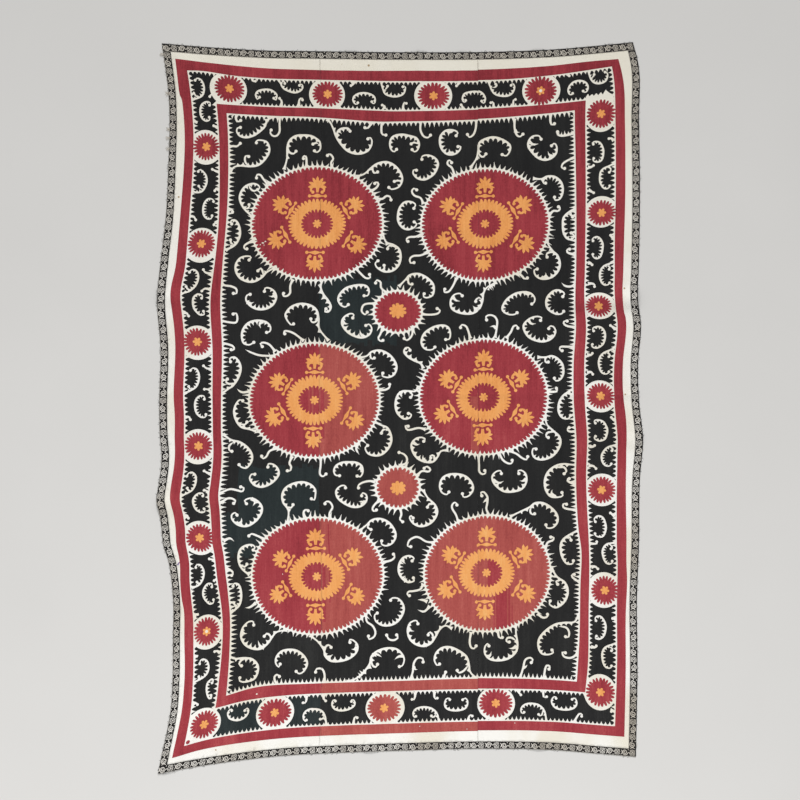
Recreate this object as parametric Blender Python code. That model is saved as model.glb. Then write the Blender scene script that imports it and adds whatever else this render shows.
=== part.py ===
"""A suzani laid out on a flat surface: an embroidered cotton cloth of three sewn loom widths, with a printed edging.

Metres, +Z up. The cloth lies in XY with its top edge towards +Y, and rests on Z = 0.
A point of the cloth is named by (u, v), where it was before the cloth was stretched and laid: u runs across the
cloth and v along it, both from its middle. laid_xy moves it to where it lies, and fold_height lifts it.
"""

import math

import bpy
import numpy as np

CLOTH_WIDTH = 1.55
CLOTH_LENGTH = 2.30
EDGING_WIDTH = 0.025
CLOTH_THICKNESS = 0.0020
EDGING_THICKNESS = 0.0016
SEAM_GAP = 0.0004

# The three loom widths meet at these two seams.
LEFT_SEAM = -0.266
RIGHT_SEAM = 0.250

COLUMN_PITCH = 0.042
ROW_PITCH = 0.056
LEAST_PITCH = 0.009
MILLIMETRE = 0.001

HALF_WIDTH = CLOTH_WIDTH / 2
HALF_LENGTH = CLOTH_LENGTH / 2

# Where each edge lies, against the straight edge of the cut cloth.
# Columns: place along the edge in metres, how far the edge lies towards +X or +Y there in millimetres.
LEFT_EDGE = (
    (1.15, -7), (0.98, 15), (0.735, 13), (0.59, 5), (0.46, -11), (0.33, -23), (0.18, -12), (0.0, -16),
    (-0.10, -14), (-0.156, -9), (-0.203, -11), (-0.25, -18), (-0.297, -25), (-0.345, -15), (-0.395, -8),
    (-0.44, -3), (-0.487, 13), (-0.55, 24), (-0.626, 30), (-0.72, 29), (-0.87, 27), (-0.955, 21), (-1.045, 3),
    (-1.09, -8), (-1.15, -20),
)
RIGHT_EDGE = (
    (1.15, -20), (1.09, -4), (0.9, 0), (0.65, 3), (0.42, -1), (0.32, -4), (0.25, 6), (0.12, -3), (0.0, 0),
    (-0.13, 13), (-0.25, 3), (-0.46, 0), (-0.65, -7), (-0.85, -5), (-1.15, -10),
)
TOP_EDGE = (
    (-0.775, 15), (-0.657, 5), (-0.527, -4), (-0.42, -9), (-0.33, -10), (0.0, -14), (0.32, -12), (0.517, -4),
    (0.648, 7), (0.775, 19),
)
BOTTOM_EDGE = (
    (-0.775, -69), (-0.657, -46), (-0.527, -26), (-0.396, -11), (-0.2, 0), (0.0, 7), (0.256, 13), (0.517, 8),
    (0.648, -3), (0.775, -13),
)
# An edge's shape dies out towards the opposite edge, as this power of the distance left to that edge.
SIDE_FADE = 4.5
TOP_FADE = 2.5
BOTTOM_FADE = 2.0

# Folds and soft swellings. Columns: crest centre u and v, crest direction in degrees from the u axis,
# half length, length over which each end dies out, half width, all in metres, and height in millimetres.
FOLDS = (
    (0.775, 0.325, 0, 0.50, 0.44, 0.048, 14),
    (0.42, 0.018, 0, 0.60, 0.22, 0.018, 3),
    (0.12, 0.575, -5, 0.15, 0.11, 0.042, 5),
    (0.42, 0.545, 8, 0.16, 0.11, 0.045, 4),
    (-0.12, 0.545, -12, 0.14, 0.10, 0.042, 4),
    (-0.775, 0.340, 0, 0.28, 0.24, 0.042, 7),
    (-0.775, -0.320, 0, 0.22, 0.20, 0.040, 6),
    (0.775, -0.130, 0, 0.18, 0.16, 0.036, 4),
    (-0.17, 1.15, 92, 0.30, 0.20, 0.034, 3),
    (0.06, 1.15, 88, 0.26, 0.18, 0.034, 4),
    (0.20, 1.15, 90, 0.30, 0.20, 0.030, 3),
    (0.45, 1.15, 93, 0.22, 0.16, 0.036, 3),
    (-0.69, -1.05, 60, 0.20, 0.15, 0.038, 5),
    (-0.66, 1.07, -35, 0.16, 0.12, 0.034, 3),
    (-0.10, -1.15, 90, 0.18, 0.14, 0.040, 3),
    (0.45, -1.15, 87, 0.16, 0.12, 0.036, 3),
)
# Folds steeper than this many degrees run along the cloth, and the others across it.
STEEP_FROM = 45
# Stations stand at these shares of a fold's half width from its crest, so its section is round.
CREST_SHARES = (-1, -0.5, 0, 0.5, 1)
# An even station is left out where another stands nearer than this share of the pitch.
CROWDED = 0.45

COTTON = ((0.86, 0.83, 0.75), 0.9)
EDGING_PRINT = ((0.12, 0.11, 0.10), 0.85)


def eased(table, at):
    """The table's second column at these places, in metres, on a smooth curve through its rows."""
    rows = np.array(sorted(table), float)
    place, value = rows[:, 0], rows[:, 1] * MILLIMETRE
    slope = np.gradient(value, place)
    at = np.clip(at, place[0], place[-1])
    i = np.clip(np.searchsorted(place, at) - 1, 0, len(place) - 2)
    span = place[i + 1] - place[i]
    s = (at - place[i]) / span
    start = (1 + 2 * s) * (1 - s) ** 2 * value[i] + s * (1 - s) ** 2 * span * slope[i]
    end = s * s * (3 - 2 * s) * value[i + 1] + s * s * (s - 1) * span * slope[i + 1]
    return start + end


def laid_xy(u, v):
    """Where the point (u, v) of the cloth lies, seen from above."""
    across = (u + HALF_WIDTH) / CLOTH_WIDTH
    along = (v + HALF_LENGTH) / CLOTH_LENGTH
    x = u + eased(LEFT_EDGE, v) * (1 - across) ** SIDE_FADE + eased(RIGHT_EDGE, v) * across ** SIDE_FADE
    y = v + eased(TOP_EDGE, u) * along ** TOP_FADE + eased(BOTTOM_EDGE, u) * (1 - along) ** BOTTOM_FADE
    return x, y


def fold_height(u, v):
    """How far the folds lift the point (u, v) off the surface."""
    height = np.zeros(np.broadcast(u, v).shape)
    for crest_u, crest_v, degrees, half_length, fade, half_width, lift in FOLDS:
        turn = math.radians(degrees)
        along = (u - crest_u) * math.cos(turn) + (v - crest_v) * math.sin(turn)
        aside = (v - crest_v) * math.cos(turn) - (u - crest_u) * math.sin(turn)
        end = np.clip((half_length - np.abs(along)) / fade, 0, 1)
        crown = np.cos(np.clip(aside / half_width, -1, 1) * math.pi / 2) ** 2
        height = np.maximum(height, lift * MILLIMETRE * end * end * (3 - 2 * end) * crown)
    return height


def stations(low, high, pitch, crests):
    """Even stations from low to high, with more of them over each crest of (centre, half width)."""
    count = max(2, round((high - low) / pitch) + 1)
    marks = [c + share * w for c, w in crests for share in CREST_SHARES]
    wanted = sorted(m for m in marks if low + LEAST_PITCH < m < high - LEAST_PITCH)
    kept = [low]
    for mark in wanted:
        if mark - kept[-1] > LEAST_PITCH:
            kept.append(mark)
    for even in np.linspace(low, high, count)[1:-1]:
        if min(abs(even - k) for k in kept + [high]) > pitch * CROWDED:
            kept.append(float(even))
    return np.array(sorted(kept + [high]))


def crests_of(steep):
    """The (centre, half width) of the folds that run along the cloth, if steep, or else across it."""
    place = 0 if steep else 1
    return [(fold[place], fold[5]) for fold in FOLDS if (abs(fold[2]) > STEEP_FROM) == steep]


def cloth_material(name, colour, roughness):
    material = bpy.data.materials.new(name)
    material.use_nodes = True
    shader = material.node_tree.nodes["Principled BSDF"]
    shader.inputs["Base Color"].default_value = (*colour, 1)
    shader.inputs["Roughness"].default_value = roughness
    shader.inputs["Metallic"].default_value = 0
    return material


def laid_sheet(name, columns, rows, thickness, shift, material):
    """A closed sheet of cloth over the given columns and rows, lying on its folds."""
    u, v = np.meshgrid(columns, rows)
    x, y = laid_xy(u, v)
    under = fold_height(u, v)
    points = []
    for z in (under, under + thickness):
        points += list(zip((x - shift[0]).ravel(), (y - shift[1]).ravel(), z.ravel()))
    wide, long = len(columns), len(rows)
    top = wide * long
    faces = []
    for r in range(long - 1):
        for c in range(wide - 1):
            a = r * wide + c
            faces.append((a, a + wide, a + wide + 1, a + 1))
            faces.append((top + a, top + a + 1, top + a + wide + 1, top + a + wide))
    rim = [c for c in range(wide)]
    rim += [r * wide + wide - 1 for r in range(1, long)]
    rim += [(long - 1) * wide + c for c in range(wide - 2, -1, -1)]
    rim += [r * wide for r in range(long - 2, 0, -1)]
    for a, b in zip(rim, rim[1:] + rim[:1]):
        faces.append((a, b, top + b, top + a))
    mesh = bpy.data.meshes.new(name)
    mesh.from_pydata(points, [], faces)
    mesh.update()
    mesh.materials.append(material)
    sheet = bpy.data.objects.new(name, mesh)
    bpy.context.scene.collection.objects.link(sheet)
    return sheet


def middle_of(columns, rows):
    """The middle of the laid cloth's outline, which becomes the origin."""
    u, v = np.meshgrid(columns, rows)
    x, y = laid_xy(u, v)
    return (x.min() + x.max()) / 2, (y.min() + y.max()) / 2


def build():
    for old in list(bpy.data.objects):
        bpy.data.objects.remove(old, do_unlink=True)
    cotton = cloth_material("cotton_ground", *COTTON)
    print_cotton = cloth_material("edging_print", *EDGING_PRINT)

    inner_u = HALF_WIDTH - EDGING_WIDTH
    inner_v = HALF_LENGTH - EDGING_WIDTH
    half_gap = SEAM_GAP / 2
    rows = stations(-inner_v + half_gap, inner_v - half_gap, ROW_PITCH, crests_of(steep=False))
    spans = {
        "panel_left": (-inner_u + half_gap, LEFT_SEAM - half_gap),
        "panel_middle": (LEFT_SEAM + half_gap, RIGHT_SEAM - half_gap),
        "panel_right": (RIGHT_SEAM + half_gap, inner_u - half_gap),
    }
    columns = {name: stations(*span, COLUMN_PITCH, crests_of(steep=True)) for name, span in spans.items()}
    side_strips = {
        "edging_left": np.array([-HALF_WIDTH, -inner_u - half_gap]),
        "edging_right": np.array([inner_u + half_gap, HALF_WIDTH]),
    }
    end_strips = {
        "edging_bottom": np.array([-HALF_LENGTH, -inner_v - half_gap]),
        "edging_top": np.array([inner_v + half_gap, HALF_LENGTH]),
    }
    across = np.concatenate([side_strips["edging_left"][:1], *columns.values(), side_strips["edging_right"][1:]])
    end_columns = across[np.concatenate([[True], np.diff(across) > LEAST_PITCH / 2])]
    shift = middle_of(end_columns, np.concatenate([end_strips["edging_bottom"], rows, end_strips["edging_top"]]))

    for name, stops in columns.items():
        laid_sheet(name, stops, rows, CLOTH_THICKNESS, shift, cotton)
    for name, stops in side_strips.items():
        laid_sheet(name, stops, rows, EDGING_THICKNESS, shift, print_cotton)
    for name, stops in end_strips.items():
        laid_sheet(name, end_columns, stops, EDGING_THICKNESS, shift, print_cotton)


build()
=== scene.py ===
import math

import bpy
import numpy as np
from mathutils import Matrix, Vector
from mathutils.geometry import delaunay_2d_cdt


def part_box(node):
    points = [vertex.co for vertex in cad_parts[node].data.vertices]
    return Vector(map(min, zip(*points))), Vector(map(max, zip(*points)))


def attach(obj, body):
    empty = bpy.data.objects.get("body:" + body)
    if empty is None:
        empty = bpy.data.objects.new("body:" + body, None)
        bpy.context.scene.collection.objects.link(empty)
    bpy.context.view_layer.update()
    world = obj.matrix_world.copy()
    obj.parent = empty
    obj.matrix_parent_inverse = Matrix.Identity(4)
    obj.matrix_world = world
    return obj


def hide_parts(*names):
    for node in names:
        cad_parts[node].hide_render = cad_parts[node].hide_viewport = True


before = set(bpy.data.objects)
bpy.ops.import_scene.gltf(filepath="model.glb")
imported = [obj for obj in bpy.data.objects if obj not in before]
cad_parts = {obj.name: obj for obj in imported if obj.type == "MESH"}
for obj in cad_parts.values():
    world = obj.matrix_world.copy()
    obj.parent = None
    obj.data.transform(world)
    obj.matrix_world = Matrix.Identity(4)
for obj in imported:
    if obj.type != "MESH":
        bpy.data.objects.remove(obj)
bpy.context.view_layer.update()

# The suzani's cloth, and how it lies. A point of the cloth is (u, v) in millimetres from its middle, u across
# and v along, as it was before the cloth was stretched and laid.
CLOTH_WIDTH = 1550
CLOTH_LENGTH = 2300
EDGING_WIDTH = 25
SEAM_GAP = 0.12
LEFT_SEAM = -266
RIGHT_SEAM = 250
CLOTH_THICKNESS = 1.2
STITCH_RISE = 0.8
EDGING_THICKNESS = 1.4
PRINT_RISE = 0.15

LEFT_EDGE = (
    (1150, -7), (980, 15), (735, 13), (590, 5), (460, -11), (330, -23), (180, -12), (0, -16),
    (-100, -14), (-156, -9), (-203, -11), (-250, -18), (-297, -25), (-345, -15), (-395, -8),
    (-440, -3), (-487, 13), (-550, 24), (-626, 30), (-720, 29), (-870, 27), (-955, 21), (-1045, 3),
    (-1090, -8), (-1150, -20),
)
RIGHT_EDGE = (
    (1150, -20), (1090, -4), (900, 0), (650, 3), (420, -1), (320, -4), (250, 6), (120, -3), (0, 0),
    (-130, 13), (-250, 3), (-460, 0), (-650, -7), (-850, -5), (-1150, -10),
)
TOP_EDGE = (
    (-775, 15), (-657, 5), (-527, -4), (-420, -9), (-330, -10), (0, -14), (320, -12), (517, -4), (648, 7),
    (775, 19),
)
BOTTOM_EDGE = (
    (-775, -69), (-657, -46), (-527, -26), (-396, -11), (-200, 0), (0, 7), (256, 13), (517, 8), (648, -3),
    (775, -13),
)
SIDE_FADE = 4.5
TOP_FADE = 2.5
BOTTOM_FADE = 2.0
# Columns: crest centre u and v, crest direction in degrees, half length, fade of its ends, half width,
# height.
FOLDS = (
    (775, 325, 0, 500, 440, 48, 14),
    (420, 18, 0, 600, 220, 18, 3),
    (120, 575, -5, 150, 110, 42, 5),
    (420, 545, 8, 160, 110, 45, 4),
    (-120, 545, -12, 140, 100, 42, 4),
    (-775, 340, 0, 280, 240, 42, 7),
    (-775, -320, 0, 220, 200, 40, 6),
    (775, -130, 0, 180, 160, 36, 4),
    (-170, 1150, 92, 300, 200, 34, 3),
    (60, 1150, 88, 260, 180, 34, 4),
    (200, 1150, 90, 300, 200, 30, 3),
    (450, 1150, 93, 220, 160, 36, 3),
    (-690, -1050, 60, 200, 150, 38, 5),
    (-660, 1070, -35, 160, 120, 34, 3),
    (-100, -1150, 90, 180, 140, 40, 3),
    (450, -1150, 87, 160, 120, 36, 3),
)

chance = np.random.default_rng(7)


def eased(table, at):
    """The table's second column at these places, on a smooth curve through its rows."""
    rows = np.array(sorted(table), float)
    place, value = rows[:, 0], rows[:, 1]
    slope = np.gradient(value, place)
    at = np.clip(at, place[0], place[-1])
    i = np.clip(np.searchsorted(place, at) - 1, 0, len(place) - 2)
    span = place[i + 1] - place[i]
    s = (at - place[i]) / span
    start = (1 + 2 * s) * (1 - s) ** 2 * value[i] + s * (1 - s) ** 2 * span * slope[i]
    end = s * s * (3 - 2 * s) * value[i + 1] + s * s * (s - 1) * span * slope[i + 1]
    return start + end


def laid_xy(u, v):
    """Where the point (u, v) of the cloth lies, seen from above."""
    across = np.clip((u + CLOTH_WIDTH / 2) / CLOTH_WIDTH, 0, 1)
    along = np.clip((v + CLOTH_LENGTH / 2) / CLOTH_LENGTH, 0, 1)
    x = u + eased(LEFT_EDGE, v) * (1 - across) ** SIDE_FADE + eased(RIGHT_EDGE, v) * across ** SIDE_FADE
    y = v + eased(TOP_EDGE, u) * along ** TOP_FADE + eased(BOTTOM_EDGE, u) * (1 - along) ** BOTTOM_FADE
    return x, y


def fold_height(u, v):
    """How far the folds lift the point (u, v) off the surface."""
    height = np.zeros(np.broadcast(u, v).shape)
    for crest_u, crest_v, degrees, half_length, fade, half_width, lift in FOLDS:
        turn = math.radians(degrees)
        along = (u - crest_u) * math.cos(turn) + (v - crest_v) * math.sin(turn)
        aside = (v - crest_v) * math.cos(turn) - (u - crest_u) * math.sin(turn)
        end = np.clip((half_length - np.abs(along)) / fade, 0, 1)
        crown = np.cos(np.clip(aside / half_width, -1, 1) * math.pi / 2) ** 2
        height = np.maximum(height, lift * end * end * (3 - 2 * end) * crown)
    return height


# The laid outline's middle is the origin, as in the solids.
rim_at = np.linspace(-CLOTH_LENGTH / 2, CLOTH_LENGTH / 2, 400)
rim_x = np.concatenate([laid_xy(np.full(400, s * CLOTH_WIDTH / 2), rim_at)[0] for s in (-1, 1)])
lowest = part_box("edging_left")[0]
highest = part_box("edging_right")[1]
SHIFT_X = (rim_x.min() + rim_x.max()) / 2 - 1000 * (lowest[0] + highest[0]) / 2
end_at = np.linspace(-CLOTH_WIDTH / 2, CLOTH_WIDTH / 2, 400)
rim_y = np.concatenate([laid_xy(end_at, np.full(400, s * CLOTH_LENGTH / 2))[1] for s in (-1, 1)])
SHIFT_Y = (rim_y.min() + rim_y.max()) / 2
SHIFT_Y -= 1000 * (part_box("edging_bottom")[0][1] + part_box("edging_top")[1][1]) / 2


def laid(u, v, rise):
    """Points of the cloth in metres where they lie, rise millimetres above its underside."""
    x, y = laid_xy(u, v)
    return np.column_stack([x - SHIFT_X, y - SHIFT_Y, fold_height(u, v) + rise]) / 1000


# Drawing. Every shape is a closed outline on the flat cloth, and a later one lies over an earlier one.
GROUND, BLACK, CRIMSON, ORANGE, BRICK, PALE_BLACK = range(6)
drawn = []


def draw(colour, outline):
    """Add a shape, with its long sides broken up so that they follow the folds."""
    corner = np.array(outline, float)
    side = np.roll(corner, -1, axis=0) - corner
    parts = np.ceil(np.linalg.norm(side, axis=1) / 12).astype(int).clip(1)
    start = np.repeat(np.arange(len(corner)), parts)
    share = (np.arange(parts.sum()) - np.repeat(np.cumsum(parts) - parts, parts)) / parts[start]
    drawn.append((colour, corner[start] + side[start] * share[:, None]))


def curve(points, step=3.0, closed=False):
    """The smooth line through these points, with a point about every step millimetres."""
    p = np.array(points, float)
    if closed:
        p = np.vstack([p[-1], p, p[0], p[1]])
    else:
        p = np.vstack([2 * p[0] - p[1], p, 2 * p[-1] - p[-2]])
    line = []
    for a, b, c, d in zip(p, p[1:], p[2:], p[3:]):
        count = max(2, int(np.linalg.norm(c - b) / step) + 1)
        t = np.linspace(0, 1, count, endpoint=False)[:, None]
        bend, twist = a - 2.5 * b + 2 * c - d / 2, 1.5 * (b - c) + (d - a) / 2
        line.append(b + (c - a) * t / 2 + bend * t ** 2 + twist * t ** 3)
    line = np.vstack(line)
    return line if closed else np.vstack([line, p[-2]])


def paced(line, at):
    """Points and left-hand normals at these distances along a line."""
    length = np.concatenate([[0], np.cumsum(np.linalg.norm(np.diff(line, axis=0), axis=1))])
    point = np.column_stack([np.interp(at, length, line[:, k]) for k in (0, 1)])
    near = np.clip(at, 1.2, length[-1] - 1.2)
    ahead = np.column_stack([np.interp(near + 1.2, length, line[:, k]) for k in (0, 1)])
    behind = np.column_stack([np.interp(near - 1.2, length, line[:, k]) for k in (0, 1)])
    way = ahead - behind
    way /= np.maximum(np.linalg.norm(way, axis=1), 1e-9)[:, None]
    return point, np.column_stack([-way[:, 1], way[:, 0]])


def long(line):
    return float(np.linalg.norm(np.diff(line, axis=0), axis=1).sum())


TOOTH_STOPS = (0.0, 0.09, 0.22, 0.4, 0.6, 0.78, 0.91)


def teeth_along(start, end, count):
    """Distances from start to end with count teeth between them, and how far each stands out of its root."""
    tooth = np.repeat(np.arange(count), len(TOOTH_STOPS))
    part = np.tile(TOOTH_STOPS, count)
    at = np.concatenate([start + (end - start) * (tooth + part) / count, [end]])
    size = chance.uniform(0.8, 1.15, count + 1)
    rise = np.abs(2 * part - 1) ** 2.3 * np.where(part < 0.5, size[tooth], size[tooth + 1])
    return at, np.concatenate([rise, [size[-1]]])


def oval(colour, centre, half, count=12):
    turn = np.linspace(0, 2 * math.pi, count, endpoint=False)
    draw(colour, np.column_stack([centre[0] + half[0] * np.cos(turn), centre[1] + half[1] * np.sin(turn)]))


def ball(centre, radius, colour=GROUND):
    oval(colour, centre, (radius, radius))


def vine(points, ends="rb", teeth=0, side=1, span=(0.15, 0.85), wide=6.6, reach=12.0, colour=GROUND):
    """A scroll line. Ends are r for a root, b for a ball and t for a tip; teeth stand on its side."""
    line = curve(points, 2.5)
    whole = long(line)
    start, end = span[0] * whole, span[1] * whole
    plain = np.linspace(0, whole, max(6, int(whole / 5)))
    if teeth:
        at, rise = teeth_along(start, end, teeth)
        share = np.clip((at - start) / (end - start), 0, 1)
        rise *= reach * (0.55 + 0.45 * np.sin(share * math.pi))
        outside = (plain < start - 2) | (plain > end + 2)
        at = np.concatenate([at, plain[outside]])
        rise = np.concatenate([rise, np.zeros(outside.sum())])
        order = np.argsort(at)
        at, rise = at[order], rise[order]
    else:
        at, rise = plain, np.zeros(len(plain))
    half = wide / 2 * (0.68 + 0.32 * np.sin(at / whole * math.pi))
    from_start, to_end = at, whole - at
    for letter, gone in zip(ends, (from_start, to_end)):
        if letter == "r":
            half = half + 4.5 * np.exp(-gone / 7)
        if letter == "t":
            half = half * np.clip(gone / 14, 0.06, 1)
    point, normal = paced(line, at)
    left = point + normal * (half + rise * (side > 0))[:, None]
    right = point - normal * (half + rise * (side < 0))[:, None]
    draw(colour, np.vstack([left, right[::-1]]))
    for letter, k in zip(ends, (0, -1)):
        if letter == "b":
            ball(point[k], min(5.5, 0.8 * wide), colour)


# One finger of a ragged edge. Columns: place from one notch to the next, and how deep it is there.
FINGER = ((0.0, 1.0), (0.16, 0.4), (0.34, 0.04), (0.66, 0.04), (0.84, 0.4))


def ragged(centre, half, count, depth, phase=0.0):
    """An outline of count blunt fingers on an ellipse, with narrow notches between them."""
    finger = np.repeat(np.arange(count), len(FINGER))
    part, notch = np.tile(FINGER, (count, 1)).T
    turn = (finger + part + chance.uniform(-0.09, 0.09, count)[finger]) * 2 * math.pi / count + phase
    inset = depth * notch * chance.uniform(0.75, 1.25, count)[finger]
    return np.column_stack([
        centre[0] + (half[0] - inset) * np.cos(turn), centre[1] + (half[1] - inset) * np.sin(turn)])


def spiked(centre, half, count, height):
    """A smooth ellipse with count leaning thorns outside it."""
    rows = []
    for k in range(count):
        lean = chance.uniform(-0.35, 0.35)
        tall = height * chance.uniform(0.5, 1.2)
        for part, out in ((0.0, 0), (0.22, 0.07), (0.38 + lean * 0.35, 0.4), (0.5 + lean, 1),
                          (0.63 + lean * 0.35, 0.4), (0.8, 0.07)):
            turn = (k + part) * 2 * math.pi / count
            rows.append((centre[0] + (half[0] + out * tall) * math.cos(turn),
                         centre[1] + (half[1] + out * tall) * math.sin(turn)))
    return rows


def flower(centre, radius, petals, phase, colour=ORANGE):
    """A small flower of round petals."""
    turn = np.linspace(0, 2 * math.pi, petals * 6, endpoint=False)
    out = radius * (0.55 + 0.45 * np.abs(np.cos(petals * turn / 2)) ** 0.8)
    way = np.column_stack([np.cos(turn + phase), np.sin(turn + phase)])
    draw(colour, np.array(centre) + way * out[:, None])


def palmette(centre, degrees):
    """An orange palmette pointing this way: a ball-ended foot, two curls and a fan of pointed leaves."""
    turn = math.radians(degrees - 90)
    stretch = chance.uniform(0.94, 1.06, 2)

    def put(points):
        p = np.array(points, float) * stretch
        x = centre[0] + p[:, 0] * math.cos(turn) - p[:, 1] * math.sin(turn)
        y = centre[1] + p[:, 0] * math.sin(turn) + p[:, 1] * math.cos(turn)
        return np.column_stack([x, y])

    draw(ORANGE, put((
        (-27, -25), (-17, -25), (-8, -22), (0, -19), (8, -22), (17, -25), (27, -25),
        (27, -29), (16, -29), (8, -31), (0, -33), (-8, -31), (-16, -29), (-27, -29))))
    draw(ORANGE, put(((-4, -15), (4, -15), (5, -6), (7, 6), (0, 14), (-7, 6), (-5, -6))))
    for s in (-1, 1):
        ball(put(((s * 27, -27),))[0], 5.4, ORANGE)
        curl = put(((s * 2, -3), (s * 8, 3), (s * 16, 4), (s * 22, -2), (s * 22, -10), (s * 16, -14)))
        vine(curl, "tb", 0, 1, wide=8.5, colour=ORANGE)
    for k in range(-3, 4):
        lean = math.radians(k * chance.uniform(30, 35))
        tall = (35 - 1.2 * abs(k)) * chance.uniform(0.94, 1.06)
        leaf = ((-3, 0), (-5.2, 0.5), (-4.4, 0.78), (0, 1), (4.4, 0.78), (5.2, 0.5), (3, 0))
        draw(ORANGE, put([
            (x * math.cos(lean) + y * tall * math.sin(lean),
             6 + y * tall * math.cos(lean) - x * math.sin(lean))
            for x, y in leaf]))


def medallion(centre, half, ring, ring_half, palmettes, middle=ORANGE):
    """A great roundel: white thorned ring, crimson field, orange wreath, six palmettes and a small flower."""
    draw(GROUND, spiked(centre, (half[0] + 5, half[1] + 5), 86, 19))
    draw(CRIMSON, ragged(centre, (half[0] + 1, half[1] + 1), 92, 11))
    for p in palmettes:
        palmette(p[:2], p[2])
    draw(ORANGE, ragged(ring, (ring_half[0] + 1, ring_half[1] + 1), 42, 13))
    draw(CRIMSON, ragged(ring, (53, 48), 25, 10))
    flower(ring, 15, 7, 0.3, middle)


def side_lines(left, top, right, bottom):
    """The four sides of a stripe's edge, from tables of (place along, distance from the middle)."""
    return (
        curve([(u, v) for v, u in sorted(left)], 12),
        curve([(u, v) for u, v in sorted(top)], 12),
        curve([(u, v) for v, u in sorted(right, reverse=True)], 12),
        curve([(u, v) for u, v in sorted(bottom, reverse=True)], 12),
    )


def combed(sides, margin, pitches, heights, way):
    """A closed outline margin off these sides, with teeth of each side's pitch and height."""
    loop = []
    for line, pitch, height in zip(sides, pitches, heights):
        whole = long(line)
        count = int((whole - 2 * margin) / pitch)
        at, rise = teeth_along(margin, whole - margin, count)
        size = np.interp(at, np.linspace(0, whole, 24), chance.uniform(0.75, 1.2, 24))
        point, normal = paced(line, at)
        loop.append(point + normal * (way * (margin + height * rise * size))[:, None])
    return np.vstack(loop)


# The stripes. Left and right tables give (v, u), top and bottom ones (u, v).
OUTER_STRIPE = side_lines(
    ((1104, -738), (1000, -738), (975, -731), (950, -728), (850, -722), (750, -722), (600, -727), (450, -725),
     (360, -734), (250, -727), (50, -730), (-50, -726), (-150, -731), (-250, -735), (-300, -733),
     (-400, -730),
     (-500, -738), (-560, -745), (-610, -744), (-660, -736), (-750, -734), (-850, -732), (-1000, -736),
     (-1107, -738)),
    ((-738, 1104), (-600, 1098), (-450, 1092), (-250, 1088), (-100, 1088), (0, 1089), (250, 1090),
     (450, 1094),
     (600, 1100), (713, 1100)),
    ((1100, 713), (950, 728), (700, 728), (500, 725), (300, 725), (250, 728), (50, 724), (-50, 727),
     (-150, 723),
     (-260, 730), (-500, 735), (-600, 741), (-750, 737), (-1090, 735)),
    ((-738, -1107), (-600, -1095), (-300, -1092), (0, -1092), (400, -1090), (735, -1090)),
)
OUTER_STRIPE_INSIDE = side_lines(
    ((1069, -703), (950, -697), (850, -692), (750, -692), (600, -697), (450, -695), (360, -703), (250, -698),
     (50, -700), (-50, -697), (-150, -701), (-300, -703), (-400, -700), (-500, -706), (-560, -712),
     (-620, -710),
     (-700, -703), (-850, -702), (-1000, -704), (-1075, -705)),
    ((-703, 1069), (-640, 1070), (-500, 1060), (-150, 1055), (250, 1055), (420, 1060), (688, 1078)),
    ((1078, 688), (1000, 694), (900, 698), (700, 697), (500, 695), (250, 700), (50, 695), (-150, 695),
     (-260, 701),
     (-450, 702), (-560, 708), (-800, 708), (-1058, 703)),
    ((-705, -1075), (-600, -1066), (-400, -1061), (0, -1060), (400, -1059), (703, -1058)),
)
INNER_STRIPE = side_lines(
    ((967, -613), (850, -605), (700, -600), (500, -600), (300, -610), (0, -607), (-100, -607), (-250, -611),
     (-400, -615), (-550, -617), (-720, -600), (-900, -613), (-970, -619)),
    ((-613, 967), (-300, 963), (-100, 957), (0, 955), (250, 960), (450, 968), (600, 975)),
    ((975, 600), (500, 599), (0, 598), (-200, 599), (-350, 605), (-550, 615), (-700, 615), (-850, 612),
     (-955, 603)),
    ((-619, -970), (-450, -955), (0, -953), (300, -953), (603, -955)),
)
INNER_STRIPE_INSIDE = side_lines(
    ((938, -580), (850, -575), (700, -572), (400, -578), (0, -580), (-250, -583), (-500, -588), (-600, -583),
     (-700, -575), (-800, -577), (-935, -585)),
    ((-580, 938), (-300, 933), (-100, 921), (0, 921), (250, 927), (450, 938), (565, 945)),
    ((945, 565), (700, 568), (400, 570), (200, 565), (0, 562), (-200, 566), (-400, 575), (-500, 588),
     (-600, 587),
     (-750, 585), (-922, 575)),
    ((-585, -935), (-470, -918), (-300, -920), (0, -920), (250, -918), (575, -922)),
)

# The border's rosettes. Columns: the crimson round's centre and half size, then the white disc's.
ROSETTES = (
    (-648, 826, 45, 45, -650, 824, 55, 56), (-650, 513, 45, 45, -650, 508, 55, 56),
    (-657, 198, 45, 45, -655, 195, 55, 55), (-655, -135, 45, 45, -655, -137, 55, 56),
    (-655, -427, 45, 45, -657, -427, 55, 54), (-656, -723, 46, 46, -656, -725, 56, 55),
    (-650, -1017, 47, 45, -655, -1018, 60, 54),
    (651, 928, 48, 47, 651, 926, 53, 57), (651, 607, 47, 42, 650, 610, 54, 51),
    (644, 304, 44, 36, 645, 305, 54, 43), (650, 12, 46, 43, 648, 11, 55, 52),
    (652, -293, 46, 44, 652, -293, 56, 53), (668, -619, 46, 48, 664, -618, 56, 58),
    (653, -951, 49, 48, 652, -951, 54, 59),
    (-567, 1019, 51, 45, -571, 1017, 62, 56), (-243, 1009, 51, 43, -245, 1007, 59, 56),
    (104, 1006, 53, 45, 103, 1006, 62, 56), (453, 1015, 53, 48, 455, 1016, 62, 57),
    (-417, -1007, 56, 46, -416, -1008, 63, 57), (-57, -1008, 56, 46, -54, -1008, 64, 57),
    (309, -1001, 56, 48, 310, -1002, 62, 57),
)
PALE_HEARTED = ((-656, -723), (453, 1015))

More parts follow.
